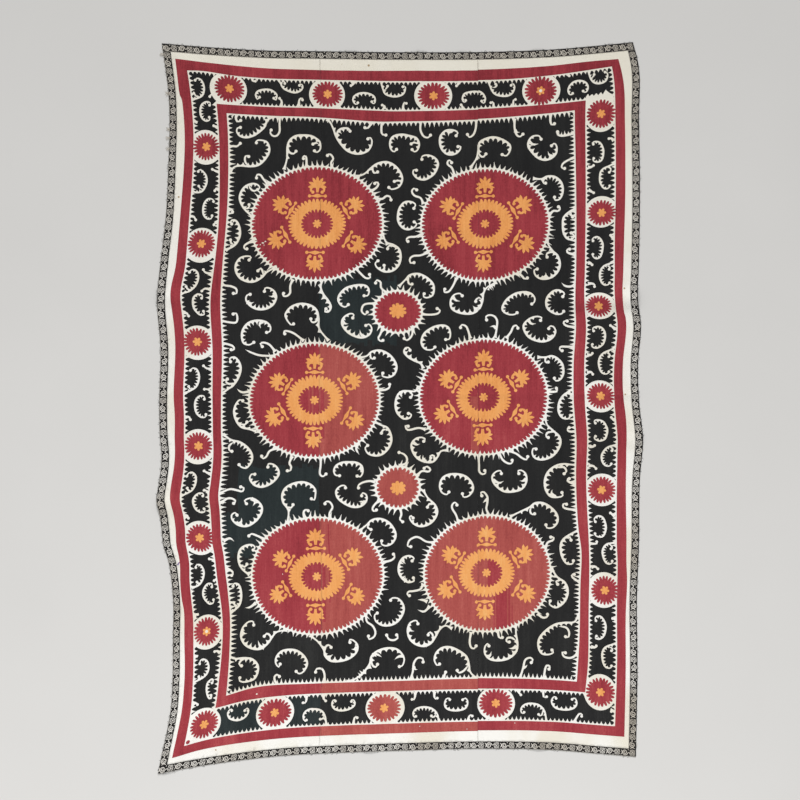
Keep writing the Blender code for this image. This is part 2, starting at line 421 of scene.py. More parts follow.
# The border between the stripes, with the corners that the white fills.
draw(GROUND, np.vstack(OUTER_STRIPE_INSIDE))
draw(BLACK, combed(OUTER_STRIPE_INSIDE, 3.5, (14.5, 14, 14.5, 14), (12, 10, 12, 10), -1))
draw(GROUND, combed(INNER_STRIPE, 3.5, (14.5, 14, 14.5, 14), (12, 10, 12, 10), 1))
draw(GROUND, (
    (600, 930), (600, 986), (607, 996), (612, 987), (620, 994), (626, 988), (634, 996), (640, 989),
    (649, 998),
    (655, 990), (664, 1005), (676, 994), (690, 986), (694, 930)))
draw(GROUND, ((-703, -1035), (-703, -1073), (-655, -1069), (-630, -1050)))
for u, v, half_u, half_v, disc_u, disc_v, disc_half_u, disc_half_v in ROSETTES:
    oval(GROUND, (disc_u, disc_v), (disc_half_u, disc_half_v), 48)
for u, v, half_u, half_v, *disc in ROSETTES:
    draw(CRIMSON, ragged((u, v), (half_u, half_v), 23, 12, phase=chance.uniform(0, 1)))
    flower((u, v), 15, 6, chance.uniform(0, 1))
    if (u, v) in PALE_HEARTED:
        ball((u, v), 5)
ball((-695, -1065), 6.5, CRIMSON)
draw(GROUND, np.vstack(INNER_STRIPE))
draw(BLACK, combed(INNER_STRIPE_INSIDE, 4, (14.5, 15, 13.5, 14), (18, 14, 17, 14), -1))

# The six roundels: centre, half width and height, wreath centre, wreath half size.
MEDALLIONS = (
    ((-276.5, 583.5), (213, 184.5), (-276, 582), (94, 82)),
    ((272.5, 577.5), (206, 183), (272, 580), (92, 82)),
    ((-280.5, 3.7), (208, 185), (-281, 4), (92, 82)),
    ((268, 10), (207, 188), (268, 8), (90, 82)),
    ((-280, -569.6), (217, 188), (-281, -572), (94, 80)),
    ((280.7, -572.5), (205, 189), (278, -571), (92, 80)),
)
PALMETTES = (
    (0, 118, 90), (115, 58, 30), (124, -64, -30), (-5, -120, -90), (-124, -49, -150), (-110, 58, 150),
)
for centre, half, ring, ring_half in MEDALLIONS:
    spots = [(ring[0] + du, ring[1] + dv, turn) for du, dv, turn in PALMETTES]
    medallion(centre, half, ring, ring_half, spots)

draw(GROUND, spiked((-10.7, 293), (81, 72), 30, 19))
draw(CRIMSON, ragged((-10.7, 293), (76, 67), 30, 10))
draw(ORANGE, ragged((-11, 296), (29, 26), 10, 9))
draw(GROUND, spiked((-11, -285), (74, 72), 28, 19))
draw(BRICK, ragged((-11, -285), (69, 67), 28, 10))
draw(ORANGE, ragged((-10, -287), (26, 24), 9, 8))

# The white scrolls. Columns: its two ends, how many teeth (below nought on its right), and its line.
SCROLLS = (
    # Round the first roundel, above and to its left.
    ("rb", 0, (-546, 938), (-549, 923), (-543, 912), (-533, 917)),
    ("rb", -9, (-402, 936), (-435, 927), (-447, 913), (-452, 900), (-467, 885), (-488, 870), (-513, 862),
     (-535, 866),
     (-546, 879), (-544, 891), (-534, 894)),
    ("rb", 0, (-402, 936), (-403, 910), (-403, 885), (-412, 871), (-425, 870), (-434, 880), (-431, 889)),
    ("rb", 10, (-566, 746), (-553, 764), (-530, 769), (-500, 768), (-473, 773), (-452, 791), (-438, 814),
     (-437, 833),
     (-446, 850), (-465, 855), (-479, 853), (-480, 846)),
    ("tb", 0, (-500, 768), (-514, 778), (-518, 793), (-513, 803), (-505, 800)),
    ("rb", 0, (-576, 826), (-560, 832), (-545, 832), (-534, 842)),
    ("rb", -8, (-484, 600), (-510, 622), (-525, 641), (-533, 664), (-527, 687), (-512, 704), (-490, 712),
     (-473, 708),
     (-467, 698), (-474, 693)),
    ("tb", 0, (-505, 710), (-497, 695), (-486, 688), (-474, 693)),
    ("tb", 0, (-520, 633), (-510, 630), (-501, 634), (-501, 643)),
    ("rb", 0, (-440, 710), (-456, 729), (-465, 741), (-477, 741), (-478, 731)),
    ("rb", -9, (-387, 760), (-378, 795), (-377, 833), (-369, 856), (-350, 870), (-323, 873), (-296, 870),
     (-273, 856),
     (-267, 841), (-269, 825), (-280, 817), (-287, 822)),
    ("tb", 0, (-372, 845), (-375, 829), (-369, 816), (-356, 812), (-348, 820)),
    ("tb", 0, (-271, 843), (-281, 848), (-292, 844)),
    ("rb", 0, (-313, 768), (-313, 791), (-316, 804), (-325, 803), (-323, 796)),
    ("rb", 0, (-228, 764), (-232, 783), (-225, 795), (-229, 806), (-238, 812), (-244, 807)),
    ("rb", 8, (-246, 926), (-235, 916), (-225, 895), (-215, 868), (-200, 845), (-181, 825), (-158, 815),
     (-135, 814),
     (-112, 823), (-100, 841), (-98, 858), (-105, 868), (-111, 863)),
    ("tb", -3, (-211, 862), (-212, 883), (-200, 895), (-181, 898), (-172, 894), (-170, 888)),
    ("rb", 0, (-92, 922), (-104, 908), (-112, 898), (-121, 900)),
    ("rb", 0, (-65, 922), (-67, 891), (-63, 878), (-52, 876)),
    ("rb", -10, (-150, 738), (-123, 747), (-104, 764), (-81, 781), (-50, 787), (-23, 775), (-4, 752),
     (2, 729),
     (-8, 706), (-31, 697), (-42, 703)),
    ("tb", 0, (-92, 774), (-95, 760), (-89, 750), (-79, 754)),
    ("tb", 0, (1, 718), (-10, 726), (-24, 723)),
    ("rb", 0, (-100, 690), (-83, 702), (-76, 714), (-82, 721), (-88, 716)),
    ("rb", 0, (-85, 668), (-64, 665), (-50, 675), (-38, 672), (-35, 662)),
    ("rb", 0, (-578, 610), (-566, 623), (-556, 625), (-555, 618)),
    ("rb", 6, (-570, 494), (-542, 510), (-529, 533), (-527, 556), (-536, 583), (-551, 593), (-560, 586),
     (-556, 579)),
    ("tb", 0, (-540, 511), (-553, 516), (-557, 527)),
    # Round the second roundel.
    ("bb", -9, (-17, 829), (-26, 821), (-37, 833), (-38, 856), (-27, 872), (0, 878), (28, 873), (48, 866),
     (57, 848),
     (53, 829), (42, 821), (34, 828)),
    ("tb", 0, (55, 845), (41, 852), (31, 847)),
    ("rb", 0, (63, 924), (61, 895), (71, 873), (86, 868), (94, 876)),
    ("bb", 9, (178, 874), (183, 885), (167, 893), (144, 891), (127, 873), (125, 848), (134, 825), (152, 812),
     (175, 814), (190, 827), (192, 840), (184, 838)),
    ("rt", 0, (163, 890), (154, 884), (153, 872)),
    ("rt", 0, (168, 814), (157, 820), (155, 831)),
    ("rb", 0, (244, 927), (242, 898), (234, 877), (221, 869), (215, 878)),
    ("rb", -9, (225, 768), (244, 798), (250, 825), (252, 845), (267, 858), (298, 866), (328, 858), (352, 841),
     (354, 822), (342, 804), (328, 808)),
    ("tb", 0, (251, 822), (255, 807), (266, 801), (275, 811)),
    ("rb", 0, (369, 926), (369, 895), (375, 873), (386, 866), (396, 874)),
    ("rt", 0, (370, 886), (378, 880), (386, 881)),
    ("bb", 9, (455, 856), (448, 867), (428, 866), (415, 852), (413, 833), (425, 814), (444, 795), (467, 787),
     (490, 793), (505, 810), (505, 833), (497, 840), (489, 833)),
    ("rt", 0, (416, 848), (430, 839), (447, 841)),
    ("rt", 0, (495, 797), (482, 803), (477, 815)),
    ("rb", 0, (486, 936), (486, 912), (491, 901), (499, 905)),
    ("rb", -4, (568, 871), (544, 866), (521, 864), (508, 870), (509, 878)),
    ("rb", 0, (572, 792), (544, 784), (525, 772), (522, 759), (531, 757)),
    ("rb", 7, (572, 626), (548, 616), (528, 597), (525, 572), (528, 545), (540, 527), (556, 524), (561, 537),
     (553, 545)),
    ("tb", 0, (536, 605), (549, 607), (557, 597)),
    ("rb", -9, (428, 727), (455, 725), (475, 733), (498, 731), (517, 716), (525, 695), (523, 672), (513, 656),
     (499, 655), (498, 664)),
    ("tb", 0, (478, 731), (463, 723), (461, 712), (469, 711)),
    ("rb", 0, (480, 604), (494, 619), (509, 618), (517, 627), (511, 632)),
    ("bb", -9, (66, 796), (67, 806), (86, 810), (109, 800), (119, 781), (111, 756), (98, 741), (75, 729),
     (52, 733),
     (38, 748), (39, 761), (48, 760)),
    ("rb", 0, (173, 742), (164, 768), (151, 778), (150, 789), (158, 793), (163, 785)),
    ("rb", 0, (71, 648), (62, 668), (42, 676), (33, 690), (40, 700), (49, 695)),
    ("bb", 9, (40, 634), (45, 647), (30, 656), (9, 654), (-6, 637), (-12, 614), (-11, 591), (1, 572),
     (20, 564),
     (40, 570), (49, 582), (41, 589)),
    ("rb", 0, (70, 552), (48, 541), (25, 539), (15, 530), (21, 525)),
    # Between the first and third roundels.
    ("rb", 0, (-474, 534), (-496, 520), (-510, 510), (-510, 499), (-502, 499)),
    ("br", 10, (-493, 463), (-487, 473), (-504, 475), (-523, 468), (-535, 448), (-533, 425), (-519, 404),
     (-496, 393),
     (-473, 393), (-450, 406), (-435, 423), (-419, 433), (-402, 440)),
    ("tb", 0, (-446, 408), (-447, 424), (-455, 436), (-463, 428)),
    ("rb", 0, (-580, 397), (-569, 381), (-546, 377), (-529, 368), (-529, 353), (-538, 354)),
    ("bb", -10, (-440, 361), (-437, 372), (-423, 371), (-408, 360), (-402, 341), (-412, 318), (-435, 304),
     (-462, 303), (-485, 314), (-498, 333), (-495, 348), (-485, 351)),
    ("rt", 0, (-404, 352), (-414, 344), (-426, 346)),
    ("rt", 0, (-495, 326), (-484, 322), (-472, 326)),
    ("rb", 0, (-350, 400), (-358, 379), (-358, 356), (-369, 345), (-382, 347), (-379, 354)),
    ("rb", -5, (-255, 400), (-260, 375), (-252, 352), (-235, 329), (-227, 310), (-234, 294), (-247, 294),
     (-243, 303)),
    ("rb", 10, (-236, 198), (-265, 237), (-267, 272), (-273, 298), (-292, 314), (-323, 320), (-354, 310),
     (-373, 287), (-369, 268), (-356, 251), (-348, 254)),
    ("tb", 0, (-270, 294), (-271, 270), (-280, 259), (-291, 261), (-292, 270)),
    ("rb", 0, (-316, 198), (-346, 222), (-369, 231), (-381, 229), (-377, 222)),
    ("bb", 9, (-120, 346), (-108, 347), (-104, 364), (-115, 379), (-142, 381), (-177, 372), (-198, 352),
     (-204, 333),
     (-196, 316), (-181, 309), (-171, 317)),
    ("bb", 9, (-157, 273), (-154, 285), (-169, 286), (-188, 272), (-192, 252), (-177, 229), (-154, 214),
     (-127, 208),
     (-104, 218), (-96, 237), (-104, 252), (-115, 248)),
    ("rt", 0, (-191, 262), (-182, 254), (-171, 254)),
    ("rt", 0, (-120, 210), (-131, 219), (-135, 234)),
    ("rb", 0, (-150, 438), (-131, 418), (-115, 404), (-101, 405), (-103, 416)),
    ("rb", -10, (-63, 552), (-50, 523), (-27, 514), (-8, 500), (-2, 475), (-8, 448), (-27, 429), (-54, 425),
     (-77, 437), (-85, 452), (-76, 461)),
    ("tb", 0, (-70, 430), (-56, 434), (-56, 446)),
    ("tb", 0, (-18, 502), (-28, 510), (-42, 510), (-45, 501)),
    ("rb", 0, (-46, 354), (-65, 372), (-67, 391), (-81, 397), (-83, 388)),
    ("rb", 0, (-84, 320), (-108, 320), (-123, 314), (-128, 295), (-117, 284), (-110, 292)),
    ("rb", 0, (-60, 246), (-67, 222), (-75, 206), (-67, 196), (-60, 199)),
    ("rb", 0, (-580, 266), (-550, 260), (-531, 260), (-526, 275), (-530, 290), (-539, 287)),
    ("bb", 10, (-435, 227), (-424, 231), (-423, 248), (-438, 262), (-465, 266), (-492, 258), (-510, 237),
     (-515, 214),
     (-510, 193), (-492, 187), (-477, 195)),
    ("rt", 0, (-446, 263), (-457, 254), (-453, 240)),
    ("rt", 0, (-410, 150), (-454, 152), (-481, 160), (-505, 172)),
    ("rb", 0, (-408, 164), (-427, 187), (-446, 194), (-456, 190), (-450, 181)),
    ("rb", 0, (-580, 193), (-558, 189), (-542, 181), (-542, 170), (-550, 172)),
    # Between the second and fourth roundels.
    ("rb", 0, (86, 489), (63, 479), (40, 477), (28, 468), (30, 454), (41, 455)),
    ("rb", -9, (-8, 376), (13, 398), (28, 414), (55, 418), (82, 406), (102, 387), (107, 368), (102, 347),
     (83, 339),
     (72, 344), (75, 352)),
    ("tb", 0, (27, 413), (22, 396), (27, 383), (35, 384)),
    ("rb", 0, (180, 404), (169, 379), (155, 359), (139, 358), (142, 367)),
    ("rb", -10, (312, 387), (282, 372), (269, 352), (265, 325), (255, 302), (232, 287), (205, 286),
     (178, 293),
     (163, 306), (161, 329), (171, 347), (190, 353), (199, 345)),
    ("tt", 3, (306, 380), (292, 373), (280, 362)),
    ("rt", 0, (168, 342), (178, 330), (192, 327)),
    ("tb", 0, (264, 330), (256, 336), (245, 334), (243, 326)),
    ("rt", 0, (258, 306), (244, 303), (233, 312)),
    ("bb", 10, (426, 314), (434, 320), (436, 333), (425, 348), (402, 354), (371, 348), (344, 329), (330, 306),
     (332, 291), (348, 281), (367, 280), (377, 286)),
    ("rt", 0, (405, 352), (414, 345), (414, 334)),
    ("bb", 8, (528, 337), (533, 348), (517, 358), (498, 356), (478, 337), (473, 314), (480, 295), (502, 281),
     (521, 281), (529, 289)),
    ("bb", 11, (452, 260), (456, 269), (440, 273), (417, 266), (398, 248), (398, 229), (413, 206), (440, 193),
     (467, 191), (490, 202), (500, 222), (494, 238), (482, 241), (478, 233)),
    ("rt", 0, (412, 262), (422, 249), (437, 250)),
    ("rt", 0, (492, 208), (481, 206), (470, 215)),
    ("rb", 0, (304, 204), (309, 233), (311, 260), (302, 275), (286, 279), (275, 273), (277, 263)),
    ("rt", 0, (308, 236), (299, 242), (287, 240)),
    ("rb", 0, (224, 204), (217, 229), (209, 245), (195, 249), (192, 240)),
    ("rb", 0, (340, 202), (355, 222), (363, 240), (374, 244), (378, 235)),
    ("bb", 9, (144, 201), (156, 203), (159, 222), (152, 241), (132, 248), (102, 241), (75, 222), (65, 198),
     (69, 179),
     (82, 168), (101, 168), (109, 176)),
    ("rb", 0, (34, 246), (36, 222), (28, 206), (17, 199), (9, 205)),
    ("rb", 0, (66, 285), (90, 283), (113, 285), (124, 291), (125, 299), (117, 303)),
    ("rb", -4, (72, 106), (63, 122), (40, 133), (21, 145), (9, 160), (13, 173), (25, 174), (28, 166)),
    ("rb", -9, (474, 526), (480, 506), (494, 487), (509, 472), (517, 448), (513, 425), (498, 406), (478, 397),
     (455, 397), (438, 408), (433, 425), (443, 429)),
    ("tb", 0, (504, 480), (486, 484), (473, 478), (475, 468)),
    ("rt", 0, (464, 399), (471, 406), (471, 418)),
    ("rb", 0, (376, 417), (392, 408), (402, 397), (411, 400)),
    ("rb", 0, (568, 473), (552, 477), (540, 483), (541, 492), (548, 492)),
    ("tr", 0, (523, 383), (536, 372), (555, 370), (570, 378)),
    ("rb", 0, (567, 237), (540, 240), (527, 248), (529, 257), (538, 257)),
    ("rb", 0, (568, 173), (540, 173), (519, 173), (516, 164), (524, 160)),
    # Round the third roundel.
    ("br", -7, (-552, 133), (-554, 144), (-538, 147), (-523, 129), (-519, 106), (-527, 79), (-542, 56),
     (-558, 45),
     (-578, 30)),
    ("tb", 0, (-535, 66), (-554, 61), (-566, 69), (-561, 77)),
    ("rt", 0, (-486, 37), (-508, 33), (-521, 37), (-530, 46)),
    ("br", 6, (-511, 6), (-521, 9), (-533, -5), (-539, -28), (-533, -55), (-517, -78), (-492, -86),
     (-468, -94)),
    ("tb", 0, (-525, -66), (-506, -72), (-498, -63)),
    ("rb", -10, (-575, -100), (-550, -119), (-523, -127), (-500, -144), (-485, -167), (-485, -190),
     (-500, -211),
     (-517, -208), (-525, -200)),
    ("tb", 0, (-540, -125), (-557, -138), (-557, -152), (-549, -156)),
    ("rb", 0, (-402, -150), (-427, -159), (-438, -177), (-450, -183), (-453, -175)),
    ("rb", 0, (-354, -178), (-363, -200), (-357, -212), (-360, -225), (-369, -225)),
    ("rb", 0, (-262, -184), (-262, -209), (-264, -236), (-254, -246), (-244, -238)),
    ("bb", -9, (-432, -211), (-431, -201), (-415, -203), (-400, -217), (-396, -236), (-408, -255),
     (-427, -269),
     (-450, -275), (-473, -267), (-488, -248), (-484, -233), (-473, -233)),
    ("rt", 0, (-478, -264), (-469, -258), (-458, -254)),
    ("rb", 0, (-580, -290), (-550, -278), (-527, -282), (-509, -287), (-505, -276), (-515, -272)),
    ("bb", -7, (-200, -244), (-213, -242), (-219, -228), (-212, -211), (-192, -201), (-169, -200),
     (-146, -202),
     (-129, -213), (-125, -232), (-132, -248), (-143, -246)),
    ("rt", 0, (-127, -226), (-134, -222), (-142, -227)),
    ("rb", -9, (-88, -68), (-65, -80), (-46, -88), (-35, -109), (-33, -132), (-42, -155), (-62, -175),
     (-85, -180),
     (-108, -173), (-118, -155), (-110, -146)),
    ("tb", 0, (-44, -92), (-60, -96), (-65, -106)),
    ("rt", 0, (-142, -140), (-147, -158), (-137, -176)),
    ("rb", 0, (-74, 35), (-50, 37), (-38, 45), (-38, 54)),
    ("rb", -9, (-136, 142), (-112, 148), (-96, 162), (-69, 166), (-42, 154), (-23, 133), (-15, 110),
     (-23, 87),
     (-42, 77), (-62, 82), (-60, 91)),
    ("tb", 0, (-97, 160), (-101, 148), (-96, 138), (-88, 141)),
    # Round the fourth roundel.
    ("rb", 8, (56, 44), (45, 31), (25, 32), (3, 31), (-12, 18), (-19, -9), (-15, -36), (0, -55), (13, -60),
     (28, -56),
     (32, -45), (23, -42)),
    ("tb", 0, (30, 32), (36, 17), (30, 11)),
    ("rt", 0, (0, 30), (-2, 20), (3, 10)),
    ("rb", 0, (78, -95), (55, -90), (28, -96), (17, -94), (13, -81), (22, -84)),
    ("rb", -8, (152, -164), (128, -167), (117, -186), (102, -202), (78, -202), (52, -190), (36, -167),
     (32, -144),
     (44, -127), (63, -121), (77, -127), (72, -134)),
    ("tb", 0, (110, -196), (105, -182), (94, -181), (95, -189)),
    ("rt", 0, (38, -138), (50, -145), (60, -142)),
    ("rt", 0, (78, -201), (70, -192), (70, -179)),
    ("rb", 0, (250, -182), (252, -217), (253, -236), (263, -246), (275, -241), (271, -234)),
    ("rb", 0, (315, -172), (328, -198), (348, -211), (360, -208), (359, -200)),
    ("rb", 0, (344, -168), (371, -178), (390, -192), (405, -198), (409, -188)),
    ("rb", -11, (466, -55), (471, -82), (490, -102), (509, -121), (513, -144), (502, -171), (482, -190),
     (455, -198),
     (432, -192), (423, -175), (427, -160), (435, -163)),
    ("tb", 0, (494, -105), (472, -109), (467, -121), (474, -125)),
    ("rb", -9, (444, 139), (471, 139), (490, 143), (509, 135), (525, 118), (530, 98), (528, 79), (517, 64),
     (503, 62),
     (500, 70)),
    ("tb", 0, (478, 140), (469, 130), (474, 121), (480, 123)),
    ("rb", 0, (478, 27), (494, 25), (509, 28), (506, 37)),
    ("rb", 7, (568, 40), (544, 25), (525, 10), (513, -13), (511, -40), (521, -59), (540, -63), (549, -52)),
    ("tb", 0, (534, 18), (550, 21), (554, 7)),
    ("rb", 0, (567, -103), (544, -105), (535, -98), (542, -92)),
    ("rb", 0, (-8, -214), (14, -206), (18, -190), (8, -176), (-8, -170)),
    ("rb", 0, (52, -246), (67, -232), (88, -234), (94, -226), (82, -217), (74, -223)),
    ("br", 0, (-138, -285), (-139, -277), (-126, -268), (-104, -263), (-84, -266)),
    ("rb", 0, (568, -277), (548, -271), (538, -262), (546, -259)),
    # Round the fifth roundel.
    ("rb", 0, (-576, -320), (-558, -308), (-542, -308), (-531, -317), (-538, -324)),
    ("bb", -10, (-498, -327), (-502, -316), (-481, -310), (-462, -320), (-450, -339), (-454, -362),
     (-473, -385),
     (-500, -399), (-527, -395), (-546, -378), (-548, -361), (-536, -354), (-531, -362)),
    ("rt", 0, (-481, -311), (-470, -322), (-479, -336)),
    ("rt", 0, (-530, -391), (-519, -385), (-517, -371)),
    ("rb", -10, (-370, -395), (-365, -362), (-369, -347), (-381, -328), (-383, -305), (-373, -282),
     (-350, -268),
     (-319, -263), (-292, -272), (-277, -289), (-277, -308), (-281, -322), (-290, -318)),
    ("tb", 0, (-376, -340), (-357, -346), (-350, -336)),
    ("rb", 0, (-314, -386), (-317, -362), (-309, -353), (-302, -357)),
    ("rb", 0, (-233, -388), (-233, -366), (-223, -347), (-231, -330), (-244, -328), (-247, -335)),
    ("bb", 10, (-180, -284), (-182, -277), (-196, -278), (-210, -293), (-206, -316), (-185, -335),
     (-158, -347),
     (-131, -345), (-113, -328), (-113, -308), (-126, -302), (-128, -311)),
    ("rt", 0, (-119, -338), (-128, -330), (-138, -330)),
    ("rb", 0, (-70, -327), (-85, -339), (-94, -354), (-88, -363), (-81, -358)),
    ("rb", 0, (-4, -352), (0, -374), (-5, -389), (4, -398)),
    ("rb", 0, (-446, -445), (-469, -432), (-487, -425), (-496, -431)),
    ("rb", -7, (-506, -556), (-527, -539), (-538, -520), (-540, -497), (-531, -474), (-512, -462),
     (-489, -460),
     (-481, -469), (-488, -477)),
    ("tb", 0, (-537, -521), (-521, -529), (-513, -521)),
    ("rb", 0, (-588, -526), (-570, -536), (-561, -546), (-567, -553)),
    ("rt", 0, (-580, -442), (-558, -435), (-545, -446)),
    ("br", -7, (-564, -588), (-561, -580), (-546, -583), (-538, -601), (-537, -628), (-544, -651),
     (-562, -666),
     (-582, -680)),
    ("tb", 0, (-544, -648), (-557, -650), (-563, -641)),
    ("rt", 0, (-488, -648), (-508, -660), (-524, -660)),
    ("rb", -9, (-137, -426), (-115, -408), (-96, -391), (-69, -387), (-42, -399), (-23, -424), (-19, -447),
     (-31, -468), (-50, -476), (-65, -471), (-65, -460)),
    ("tb", 0, (-103, -399), (-110, -414), (-99, -422)),
    ("rb", 0, (-62, -530), (-35, -524), (-23, -513), (-27, -504)),
    # Round the sixth roundel.
    ("bb", -9, (155, -302), (148, -310), (132, -303), (125, -282), (132, -258), (152, -245), (182, -243),
     (209, -251),
     (228, -270), (234, -293), (221, -314), (203, -319), (199, -308)),
    ("bb", 9, (325, -244), (323, -235), (309, -237), (296, -251), (298, -270), (313, -289), (336, -303),
     (367, -303),
     (394, -293), (407, -270), (405, -247), (392, -234), (379, -235), (382, -244)),
    ("rt", 0, (299, -266), (319, -275), (333, -268)),
    ("rt", 0, (406, -262), (396, -268), (385, -268)),
    ("rb", 9, (570, -203), (559, -213), (528, -211), (502, -217), (478, -236), (467, -263), (469, -294),
     (484, -317),
     (505, -321), (525, -316), (523, -305)),
    ("tb", 0, (494, -221), (512, -222), (528, -222), (536, -235), (529, -243)),
    ("rt", 0, (500, -319), (489, -307), (492, -295)),
    ("rb", -9, (71, -294), (86, -320), (109, -343), (117, -366), (109, -389), (90, -407), (63, -414),
     (40, -405),
     (27, -387), (31, -378), (38, -386)),
    ("tb", 0, (108, -341), (92, -340), (85, -351)),
    ("rt", 0, (116, -360), (109, -368), (101, -370)),
    ("rb", 0, (186, -404), (178, -378), (165, -355), (168, -340), (178, -337), (181, -345)),
    ("rb", 0, (288, -384), (277, -362), (280, -339), (280, -320), (269, -305), (259, -307), (262, -317)),
    ("rt", 0, (280, -330), (272, -334), (266, -341)),
    ("rb", -9, (354, -386), (390, -368), (417, -355), (436, -341), (463, -341), (490, -357), (507, -378),
     (509, -401),
     (494, -420), (475, -422), (471, -412)),
    ("tb", 0, (426, -352), (419, -366), (425, -378), (434, -376)),
    ("rb", 0, (571, -361), (540, -358), (527, -352), (529, -341), (538, -343)),
    ("rb", 7, (578, -426), (544, -445), (525, -462), (519, -485), (525, -516), (540, -537), (559, -537),
     (562, -527)),
    ("tb", 0, (534, -456), (548, -450), (553, -460)),
    ("rb", 0, (592, -602), (571, -589), (559, -580), (559, -572), (566, -572)),
    ("rb", -9, (490, -552), (509, -581), (536, -600), (546, -627), (540, -654), (525, -673), (505, -683),
     (486, -673),
     (488, -662)),
    ("tb", 0, (522, -591), (507, -597), (512, -606)),
    ("rt", 0, (544, -610), (534, -618), (524, -620)),
    ("rt", 0, (520, -676), (514, -669), (514, -658)),
    ("rb", 0, (469, -490), (477, -470), (494, -462), (496, -452), (487, -452)),
    ("rb", 0, (106, -468), (80, -464), (59, -451), (44, -449), (25, -460), (20, -478), (30, -480)),
    ("bb", 9, (34, -527), (40, -518), (25, -510), (5, -516), (-8, -535), (-10, -562), (2, -585), (21, -597),
     (40, -593), (38, -583)),
    ("rt", 0, (2, -520), (6, -530), (13, -536)),
    ("rt", 0, (14, -595), (10, -587), (12, -576)),
    ("rb", 0, (70, -602), (62, -620), (40, -626), (22, -628), (18, -638), (25, -641)),
    ("rt", 0, (92, -676), (74, -694), (52, -688)),
    ("rt", 0, (84, -662), (70, -656), (52, -655)),
    ("rb", -9, (166, -752), (144, -742), (125, -754), (109, -781), (94, -800), (71, -808), (44, -800),
     (25, -781),
     (19, -754), (27, -731), (47, -723), (53, -734)),
    ("tb", 0, (104, -790), (101, -770), (90, -762), (87, -771)),
    ("rt", 0, (84, -806), (75, -800), (73, -789)),
    ("rt", 0, (21, -747), (30, -756), (41, -758)),
    ("br", -9, (124, -868), (116, -872), (107, -854), (113, -831), (132, -815), (159, -813), (190, -827),
     (213, -846),
     (221, -873), (225, -896), (246, -918)),
    ("tb", 0, (221, -870), (204, -891), (187, -898), (182, -890)),
    ("rb", 0, (26, -922), (36, -892), (40, -862), (53, -846), (69, -849), (70, -860)),
    ("rt", 0, (38, -876), (45, -884), (52, -884)),
    ("rb", 0, (228, -764), (223, -792), (226, -812), (236, -819), (244, -810)),
    ("rb", -9, (376, -738), (375, -769), (380, -804), (375, -831), (352, -852), (321, -860), (290, -856),
     (273, -838),
     (273, -815), (283, -804), (286, -812)),
    ("tb", 0, (379, -799), (361, -785), (345, -787), (345, -799), (353, -799)),
    ("rt", 0, (376, -813), (364, -820), (351, -820)),
    ("rt", 0, (280, -850), (290, -843), (294, -830)),
    ("rb", 0, (314, -758), (320, -785), (330, -784)),
    ("rb", 11, (583, -702), (567, -727), (536, -731), (505, -738), (475, -758), (452, -785), (448, -812),
     (459, -835),
     (482, -838), (498, -830), (493, -823)),
    ("tb", 0, (515, -744), (540, -747), (550, -762), (547, -778), (538, -777)),
    ("rb", 0, (580, -806), (571, -835), (552, -846), (532, -842), (527, -828), (537, -830)),
    ("rb", 0, (446, -704), (463, -717), (478, -714), (479, -706)),
    ("rb", 0, (388, -918), (398, -885), (405, -858), (421, -850), (430, -857), (425, -866)),
    ("rt", 0, (399, -882), (407, -880), (412, -873)),
    ("rb", 0, (466, -918), (470, -889), (476, -874), (487, -878), (483, -886)),
    ("rb", 0, (137, -920), (140, -905), (144, -895)),
    # Below the fifth roundel.
    ("rb", -11, (-380, -742), (-415, -746), (-431, -762), (-446, -781), (-469, -796), (-496, -794),
     (-523, -779),
     (-537, -754), (-533, -727), (-515, -708), (-497, -706), (-494, -718)),
    ("tb", 0, (-436, -772), (-438, -757), (-449, -749), (-458, -757)),
    ("rt", 0, (-458, -795), (-473, -786), (-479, -769)),
    ("rt", 0, (-536, -736), (-526, -743), (-516, -743)),
    ("rb", -9, (-582, -802), (-562, -819), (-527, -821), (-500, -827), (-481, -846), (-479, -869),
     (-492, -892),
     (-523, -898), (-541, -892), (-540, -883)),
    ("tb", 0, (-520, -823), (-538, -829), (-543, -840), (-535, -845)),
    ("bb", -10, (-404, -851), (-409, -860), (-419, -846), (-417, -827), (-400, -810), (-373, -806),
     (-346, -812),
     (-323, -831), (-313, -854), (-323, -877), (-339, -886), (-350, -878)),
    ("rb", 0, (-408, -921), (-419, -908), (-423, -892), (-414, -884), (-406, -891)),
    ("rb", 0, (-254, -920), (-256, -888), (-265, -873), (-282, -873), (-285, -883)),
    ("rb", 9, (-305, -762), (-277, -785), (-258, -812), (-254, -831), (-235, -848), (-204, -850),
     (-173, -842),
     (-150, -823), (-146, -800), (-161, -783), (-174, -782), (-171, -790)),
    ("tb", 0, (-255, -822), (-252, -802), (-241, -796), (-234, -804)),
    ("rt", 0, (-250, -836), (-238, -834), (-227, -827)),
    ("rt", 0, (-148, -806), (-157, -813), (-167, -812)),
    ("rb", 0, (-119, -698), (-115, -723), (-96, -738), (-87, -758), (-92, -774), (-108, -781), (-110, -771)),
    ("bb", -10, (-37, -655), (-32, -648), (-12, -650), (4, -669), (6, -692), (-8, -719), (-31, -735),
     (-62, -737),
     (-85, -723), (-90, -704), (-81, -696)),
    ("bb", 0, (-50, -769), (-42, -783), (-25, -786), (-13, -778), (-17, -769)),
    ("rb", -9, (-182, -918), (-150, -908), (-123, -885), (-106, -862), (-100, -838), (-81, -821), (-50, -812),
     (-19, -815), (0, -831), (8, -850), (2, -870), (-8, -873)),
    ("tb", 0, (-101, -846), (-97, -866), (-86, -873), (-80, -864)),
    ("rt", 0, (-97, -834), (-82, -831), (-66, -841)),
    ("tt", 3, (-148, -910), (-133, -897), (-118, -881)),
    ("rt", 0, (4, -838), (-12, -841), (-24, -850)),
    # The left border, from the top.
